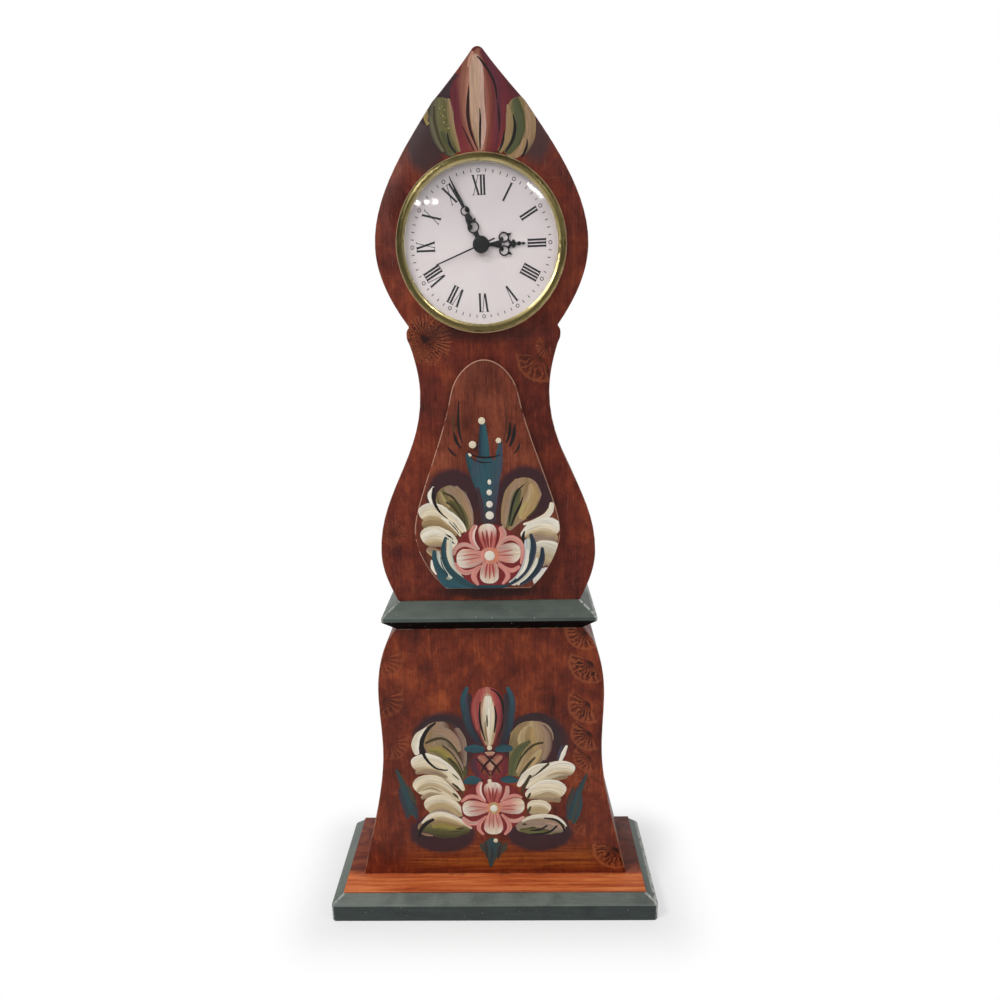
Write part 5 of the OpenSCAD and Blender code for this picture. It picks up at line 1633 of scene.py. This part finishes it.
@dataclass
class CaseScrews:
    """Wood screws with a cross recess, in the back boards and under the base.

    Recess is half a blade's length, apart the least distance between two heads, in millimetres. Turned is
    how far the crosses are turned, in radians.
    """

    frame: dict[str, Any]
    recess: float = 1.9
    blade: float = 0.75
    deep: float = 2.4
    apart: float = 8.0
    turned: float = 0.4

    def build(self) -> None:
        """Copies each set of screws and cuts the recess into every head."""
        steel = PartFinish("screw steel", "a9a7a0", "77746c", Make.BRUSHED, 1.0, 0.35).make()
        for node, away in (("lower_back_screws", (0, 1, 0)), ("upper_back_screws", (0, 1, 0)),
                           ("base_screws", (0, 0, -1))):
            piece = eased_copy(self.frame["nodes"][node], f"{node}_set")
            self.cut(piece, Vector(away))
            seat(coat(piece, steel), "case", Slot.SCREW_STEEL, node)

    def heads(self, piece: bpy.types.Object, away: Vector) -> list[Vector]:
        """Where the middle of each head is.

        Args:
            piece: one set of screws.
            away: the direction that the heads face.

        Returns:
            The middles of the flat faces of the heads.
        """
        top = max(v.co.dot(away) for v in piece.data.vertices)
        found: list[list[Vector]] = []
        for vertex in piece.data.vertices:
            if vertex.co.dot(away) < top - 1e-5:
                continue
            near = [group for group in found if (group[0] - vertex.co).length < self.apart * MM]
            if near:
                near[0].append(vertex.co.copy())
            else:
                found.append([vertex.co.copy()])
        middles = []
        for group in found:
            low = Vector(min(v[k] for v in group) for k in range(3))
            high = Vector(max(v[k] for v in group) for k in range(3))
            middles.append((low + high) / 2)
        return middles

    def cut(self, piece: bpy.types.Object, away: Vector) -> None:
        """Cuts a cross into each head with a pair of crossed blades."""
        blades = []
        turn = away.to_track_quat("Z", "Y").to_matrix().to_4x4()
        for middle in self.heads(piece, away):
            for angle in (self.turned, self.turned + math.pi / 2):
                bpy.ops.mesh.primitive_cube_add(size=1)
                blade = started("blade")
                spun = turn @ Matrix.Rotation(angle, 4, "Z")
                size = Matrix.Diagonal((2 * self.recess * MM, self.blade * MM, self.deep * MM, 1.0))
                blade.data.transform(Matrix.Translation(middle) @ spun @ size)
                blades.append(blade)
        for blade in blades:
            cutter = piece.modifiers.new("recess", "BOOLEAN")
            cutter.operation = "DIFFERENCE"
            cutter.solver = "EXACT"
            cutter.object = blade
        apply_all(piece)
        for blade in blades:
            bpy.data.objects.remove(blade)


@dataclass(frozen=True)
class Sign:
    """One Roman sign: its room, its bars and its serifs.

    A bar is thick or thin and runs between two places. A serif has its middle, half its width and its height.
    Places are in millimetres across from the sign's middle, and heights are 0 at the foot and 1 at the top.
    """

    room: float
    bars: tuple[tuple[bool, tuple[float, int], tuple[float, int]], ...]
    serifs: tuple[tuple[float, float, int], ...]


SIGNS = {
    "I": Sign(1.5, ((True, (0.0, 0), (0.0, 1)),), ((0.0, 0.72, 0), (0.0, 0.72, 1))),
    "V": Sign(3.5, ((True, (-1.2, 1), (-0.1, 0)), (False, (1.3, 1), (0.15, 0))),
              ((-1.2, 0.8, 1), (1.3, 0.55, 1))),
    "X": Sign(3.7, ((True, (-1.25, 1), (1.25, 0)), (False, (1.25, 1), (-1.25, 0))),
              ((-1.2, 0.75, 1), (1.25, 0.55, 1), (1.2, 0.75, 0), (-1.25, 0.55, 0))),
}


@dataclass
class DialPrint:
    """The black print on the dial: numerals, minute strokes and hour rings.

    Foot and track are the radii where the numerals stand and of the minute track, turned is how far the whole
    print is turned in degrees, and the rest are sizes in millimetres.
    """

    frame: dict[str, Any]
    foot: float = 23.1
    tall: float = 8.9
    thick: float = 1.0
    thin: float = 0.34
    serif: float = 0.3
    tick: float = 0.4
    tick_half: float = 0.75
    ring_radius: float = 0.8
    ring_line: float = 0.36
    track: float = 34.2
    turned: float = -1.15

    def build(self) -> bpy.types.Object:
        """Prints the dial.

        Returns:
            The print as one piece.
        """
        self.bars = BrushKit(rows=4, columns=4, square=True)
        self.round = BrushKit(rows=22, columns=4, square=True)
        self.face = FaceOutline(self.frame["nodes"]["dial"])
        self.black = np.array([[linear("1e1c20")] * SHADES])
        self.made: list[bpy.types.Object] = []
        for hour, signs in enumerate("I II III IIII V VI VII VIII IX X XI XII".split(), 1):
            self.numeral(hour, signs)
        middle = self.track - self.foot
        for minute in range(60):
            if minute % 5:
                self.line(minute * 6, self.tick, (0, middle - self.tick_half), (0, middle + self.tick_half))
            else:
                self.ring(minute * 6)
        piece = joined(self.made, "dial_print")
        for kit in (self.bars, self.round):
            bpy.data.objects.remove(kit.sheet)
        ink = PartFinish("print ink", "1b191d", "121014", Make.MOULDED, 0.0, 0.6, 0.15).make()
        return seat(coat(piece, ink), "insert", Slot.HAND_BLACK)

    def place(self, angle: float, across: float, up: float) -> tuple[float, float]:
        """A place on the dial, from the clockwise angle of its numeral and the place in the numeral."""
        turn = math.radians(angle + self.turned)
        far = self.foot + up
        return (far * math.sin(turn) + across * math.cos(turn),
                DIAL_Z + far * math.cos(turn) - across * math.sin(turn))

    def line(self, angle: float, width: float, start: tuple[float, float], stop: tuple[float, float]) -> None:
        """Prints one straight bar between two places of a numeral."""
        ends = (self.place(angle, *start), self.place(angle, *stop))
        self.made.append(self.bars.lay(Stroke(ends, (width, width), self.black), self.face, 0, 0))

    def ring(self, angle: float) -> None:
        """Prints the small ring that marks an hour on the minute track."""
        middle = self.place(angle, 0, self.track - self.foot)
        turns = [math.radians(30 * k) for k in range(13)]
        line = tuple((middle[0] + self.ring_radius * math.cos(t), middle[1] + self.ring_radius * math.sin(t))
                     for t in turns)
        stroke = Stroke(line, (self.ring_line, self.ring_line), self.black)
        self.made.append(self.round.lay(stroke, self.face, 0, 0))

    def numeral(self, hour: int, signs: str) -> None:
        """Prints one numeral.

        Args:
            hour: its hour, which says where it stands.
            signs: its signs from left to right.
        """
        at = -sum(SIGNS[s].room for s in signs) / 2
        angle = hour * 30
        for sign in (SIGNS[s] for s in signs):
            middle = at + sign.room / 2
            at += sign.room
            for heavy, *ends in sign.bars:
                start, stop = ((middle + across, self.tall * up) for across, up in ends)
                self.line(angle, self.thick if heavy else self.thin, start, stop)
            for across, half, up in sign.serifs:
                left, right = middle + across - half, middle + across + half
                self.line(angle, self.serif, (left, self.tall * up), (right, self.tall * up))


@dataclass
class DomedGlass:
    """The glass: two domes joined by a flat rim.

    Sight is the radius of the dome, rim that of the whole glass, rise the dome's height, and weld how near
    to each other the edges are that are joined, in millimetres.
    """

    frame: dict[str, Any]
    sight: float = 38.0
    rim: float = 39.0
    rise: float = 5.4
    thick: float = 1.2
    weld: float = 0.05
    segments: int = 96
    rings: int = 180

    def build(self, finish: bpy.types.Material) -> bpy.types.Object:
        """Models the glass in place of the frame's lens.

        Args:
            finish: the glass.

        Returns:
            The glass as one closed piece.
        """
        radius = (self.sight ** 2 + self.rise ** 2) / (2 * self.rise)
        plane = radius - self.rise
        inner_edge = math.sqrt((radius - self.thick) ** 2 - (plane - self.thick) ** 2)
        outer = self.cap("outer_dome", radius, plane)
        for factor, lift in ((self.rim / self.sight, 0.0), (1.0, -self.thick), (inner_edge / self.rim, 0.0)):
            self.pull(outer, factor, lift)
        inner = self.cap("inner_dome", radius - self.thick, plane - self.thick)
        piece = joined((outer, inner), "domed_glass")
        with editing(piece):
            bpy.ops.mesh.remove_doubles(threshold=self.weld * MM)
            bpy.ops.mesh.normals_make_consistent(inside=False)
        apex = min(v.co.y for v in self.frame["nodes"]["lens"].data.vertices)
        middle = Vector((0.0, apex + radius * MM, DIAL_Z * MM))
        piece.data.transform(Matrix.Translation(middle) @ Matrix.Rotation(math.radians(90), 4, "X"))
        bpy.ops.object.shade_smooth_by_angle(angle=math.radians(10))
        return seat(coat(piece, finish), "insert", Slot.GLASS, "lens")

    def cap(self, name: str, radius: float, plane: float) -> bpy.types.Object:
        """The part of a ball above a plane, open below."""
        bpy.ops.mesh.primitive_uv_sphere_add(segments=self.segments, ring_count=self.rings,
                                             radius=radius * MM)
        piece = started(name)
        with editing(piece):
            bpy.ops.mesh.bisect(plane_co=(0, 0, plane * MM), plane_no=(0, 0, 1), clear_inner=True)
        return piece

    @staticmethod
    def pull(piece: bpy.types.Object, factor: float, lift: float) -> None:
        """Extrudes the open edge outwards by a factor and along the axis by some millimetres."""
        with editing(piece, "DESELECT"):
            bpy.ops.mesh.select_non_manifold()
            bpy.ops.mesh.extrude_region_move(TRANSFORM_OT_translate={"value": (0, 0, lift * MM)})
            bpy.ops.transform.resize(value=(factor, factor, 1.0))


@dataclass
class ClockInsert:
    """The round clock insert: rim, glass, dial, hands, housing and the works behind them."""

    frame: dict[str, Any]

    def build(self) -> None:
        """Smooths what shows and dresses every part of the works."""
        self.shown()
        DomedGlass(self.frame).build(GlassFinish().make())
        self.works()
        DialPrint(self.frame).build()

    def shown(self) -> None:
        """Makes the smooth pieces that are seen from outside."""
        black = PartFinish("hand lacquer", "111010", "080808", Make.MOULDED, 0.0, 0.48, 0.12).make()
        housing = PartFinish("housing plastic", "27272a", "1c1c1f", Make.MOULDED, 0.0, 0.5).make()
        rubber = PartFinish("grip rubber", "242424", "161616", Make.MOULDED, 0.0, 0.8, 0.3).make()
        plan = (("bezel", "brass_bezel", "insert", BezelFinish().make(), 0.15, Slot.BEZEL_BRASS),
                ("dial", "dial_plate", "insert", DialFinish().make(), 0.0, Slot.DIAL_WHITE),
                ("can", "round_housing", "insert", housing, 0.25, Slot.HOUSING),
                ("grip_ring", "rubber_grip", "insert", rubber, 0.0, Slot.GRIP_RUBBER),
                ("set_knob", "setting_knob", "setting", housing, 0.15, Slot.HOUSING),
                ("hour_hand", "hour_pointer", "hours", black, 0.11, Slot.HAND_BLACK),
                ("minute_hand", "minute_pointer", "minutes", black, 0.11, Slot.HAND_BLACK),
                ("second_hand", "second_pointer", "seconds", black, 0.07, Slot.HAND_BLACK))
        for node, name, body, finish, ease, slot in plan:
            piece = eased_copy(self.frame["nodes"][node], name, ease, 40.0)
            seat(coat(piece, finish), body, slot, node)

    def works(self) -> None:
        """Dresses the nodes that are carried over as they are."""
        brass = PartFinish("gear brass", "c9a85a", "94762f", Make.TURNED, 1.0, 0.3)
        cream = PartFinish("gear plastic", "d8d0bd", "c3b99f", Make.MOULDED, 0.0, 0.4)
        steel = PartFinish("bare steel", "b4b4b4", "8c8c8c", Make.BRUSHED, 1.0, 0.35)
        copper = PartFinish("copper winding", "c4713c", "7e3f1c", Make.WOUND, 1.0, 0.35)
        nylon = PartFinish("natural nylon", "d3c8a8", "bfb28e", Make.MOULDED, 0.0, 0.45)
        green = PartFinish("circuit board", "2f7a46", "164a28", Make.PRINTED, 0.0, 0.35)
        jacket = PartFinish("cell jacket", "a8a294", "837d70", Make.BRUSHED, 0.8, 0.35)
        dark = PartFinish("plate plastic", "34343a", "232328", Make.MOULDED, 0.0, 0.45)
        plan = ((brass, ("centre_bush", "cannon_pinion", "rotor")),
                (cream, ("intermediate_wheel", "second_wheel", "third_wheel", "centre_wheel", "motion_wheel",
                         "hour_wheel", "setting_arbor", "lens_spacer")),
                (steel, ("stator", "contact_plus", "contact_minus", "quartz")), (copper, ("coil",)),
                (nylon, ("bobbin",)), (green, ("circuit_board",)), (jacket, ("battery",)),
                (dark, ("front_plate", "rear_plate")))
        for finish, nodes in plan:
            material = finish.make()
            for node in nodes:
                coat(self.frame["nodes"][node], material)
            LOG.info("%s: %s", finish.name, ", ".join(nodes))


@dataclass
class Studio:
    """A pale floor that curves up behind, soft lamps and the camera of the picture.

    Sky is the strength of the light from all around, place is in metres and the angles in degrees.
    """

    sky: float = 0.5
    lens: float = 25.216
    place: tuple[float, float, float] = (0.013563, -0.38084, 0.342564)
    yaw: float = -1.002
    pitch: float = 13.816
    roll: float = -0.98

    def build(self) -> None:
        """Sets up the camera, the floor, the lamps and the surroundings."""
        self.camera()
        self.floor()
        self.lamps()
        self.surroundings()
        bpy.context.scene.view_settings.view_transform = "Standard"

    def camera(self) -> None:
        """Puts the camera where the picture was taken from."""
        yaw, pitch, roll = (math.radians(a) for a in (self.yaw, self.pitch, self.roll))
        ahead = Vector((math.sin(yaw) * math.cos(pitch), math.cos(yaw) * math.cos(pitch), -math.sin(pitch)))
        level = ahead.cross(Vector((0, 0, 1))).normalized()
        rise = level.cross(ahead)
        right = math.cos(roll) * level + math.sin(roll) * rise
        up = -math.sin(roll) * level + math.cos(roll) * rise
        data = bpy.data.cameras.new("camera")
        data.lens = self.lens
        data.sensor_width = 36.0
        data.sensor_fit = "HORIZONTAL"
        data.clip_start = 0.01
        camera = bpy.data.objects.new("camera", data)
        bpy.context.scene.collection.objects.link(camera)
        turned = Matrix((right, up, -ahead)).transposed().to_4x4()
        camera.matrix_world = Matrix.Translation(self.place) @ turned
        bpy.context.scene.camera = camera

    def floor(self) -> None:
        """Models the floor and its curve up to the backdrop."""
        bpy.ops.mesh.primitive_plane_add(size=5, location=(0, -0.7, 0))
        floor = settle(started("floor"))
        bpy.ops.object.mode_set(mode="EDIT")
        bpy.ops.mesh.select_all(action="DESELECT")
        bpy.ops.object.mode_set(mode="OBJECT")
        far = max(v.co.y for v in floor.data.vertices)
        for edge in floor.data.edges:
            edge.select = all(floor.data.vertices[k].co.y > far - 1e-4 for k in edge.vertices)
        bpy.ops.object.mode_set(mode="EDIT")
        bpy.ops.mesh.select_mode(type="EDGE")
        bpy.ops.mesh.extrude_region_move(TRANSFORM_OT_translate={"value": (0, 0, 3)})
        bpy.ops.object.mode_set(mode="OBJECT")
        bend = floor.modifiers.new("curve", "BEVEL")
        bend.width = 0.6
        bend.segments = 16
        bend.limit_method = "ANGLE"
        apply_all(floor)
        bpy.ops.object.shade_smooth()
        coat(floor, PaperFinish().make())

    def lamps(self) -> None:
        """Hangs the soft key lamp, a weak fill and the small lamps that show in the glass."""
        aim = Vector((0, 0, 0.25))
        self.lamp("key", aim, (-0.62, -0.44, 0.82), 1.7, (0.5, 0.5), 12.5)
        self.lamp("fill", aim, (0.85, -0.5, 0.35), 1.9, (0.9, 0.9), 3.0)
        dial = Vector((0, -0.02, 0.3826))
        for step in (-1, 0, 1):
            way = Vector((-0.466 + 0.067 * step, -0.773 - 0.036 * step, 0.431 + 0.007 * step))
            self.lamp(f"pane_{step + 1}", dial, way, 1.3, (0.058, 0.055), 1.6, True)
        self.lamp("strip", dial, (0.41, -0.758, 0.503), 1.3, (0.04, 0.22), 2.6, True, 40.0)

    def lamp(self, name: str, aim: Vector, way: Sequence[float], far: float, size: tuple[float, float],
             power: float, glint: bool = False, tilt: float = 0.0) -> None:
        """Hangs one square lamp.

        Args:
            name: the lamp's name.
            aim: the place that it shines at.
            way: the direction from there to the lamp.
            far: how far away it hangs, in metres.
            size: its width and height in metres.
            power: its strength in watts.
            glint: whether it only shows in glossy surfaces.
            tilt: how many degrees it leans to the left.
        """
        data = bpy.data.lights.new(name, "AREA")
        data.shape = "RECTANGLE"
        data.size, data.size_y = size
        data.energy = power
        lamp = bpy.data.objects.new(name, data)
        bpy.context.scene.collection.objects.link(lamp)
        out = Vector(way).normalized()
        lamp.location = aim + out * far
        lamp.rotation_mode = "QUATERNION"
        lamp.rotation_quaternion = out.to_track_quat("Z", "Y") @ Quaternion((0, 0, 1), math.radians(tilt))
        lamp.visible_camera = False
        lamp.visible_diffuse = not glint

    def surroundings(self) -> None:
        """An even pale sky that the camera sees as white, through the glass too."""
        world = bpy.data.worlds.new("pale sky")
        bpy.context.scene.world = world
        sheet = ShaderSheet(world)
        dim = sheet.wired(sheet.add("ShaderNodeBackground"), {"Strength": self.sky})
        white = sheet.wired(sheet.add("ShaderNodeBackground"), {"Color": "ffffff"})
        seen = sheet.read("ShaderNodeLightPath", "Is Camera Ray")
        through = sheet.read("ShaderNodeLightPath", "Is Transmission Ray")
        sheet.close(sheet.mixed(seen.larger(through), dim, white))


def main() -> None:
    """Loads the frame and builds every part of the clock over it."""
    logging.basicConfig(level=logging.INFO, format="%(message)s", stream=sys.stdout)
    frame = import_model()
    PaintedCase(frame).build()
    CaseScrews(frame).build()
    ClockInsert(frame).build()
    Studio().build()


if __name__ == "__main__":
    main()
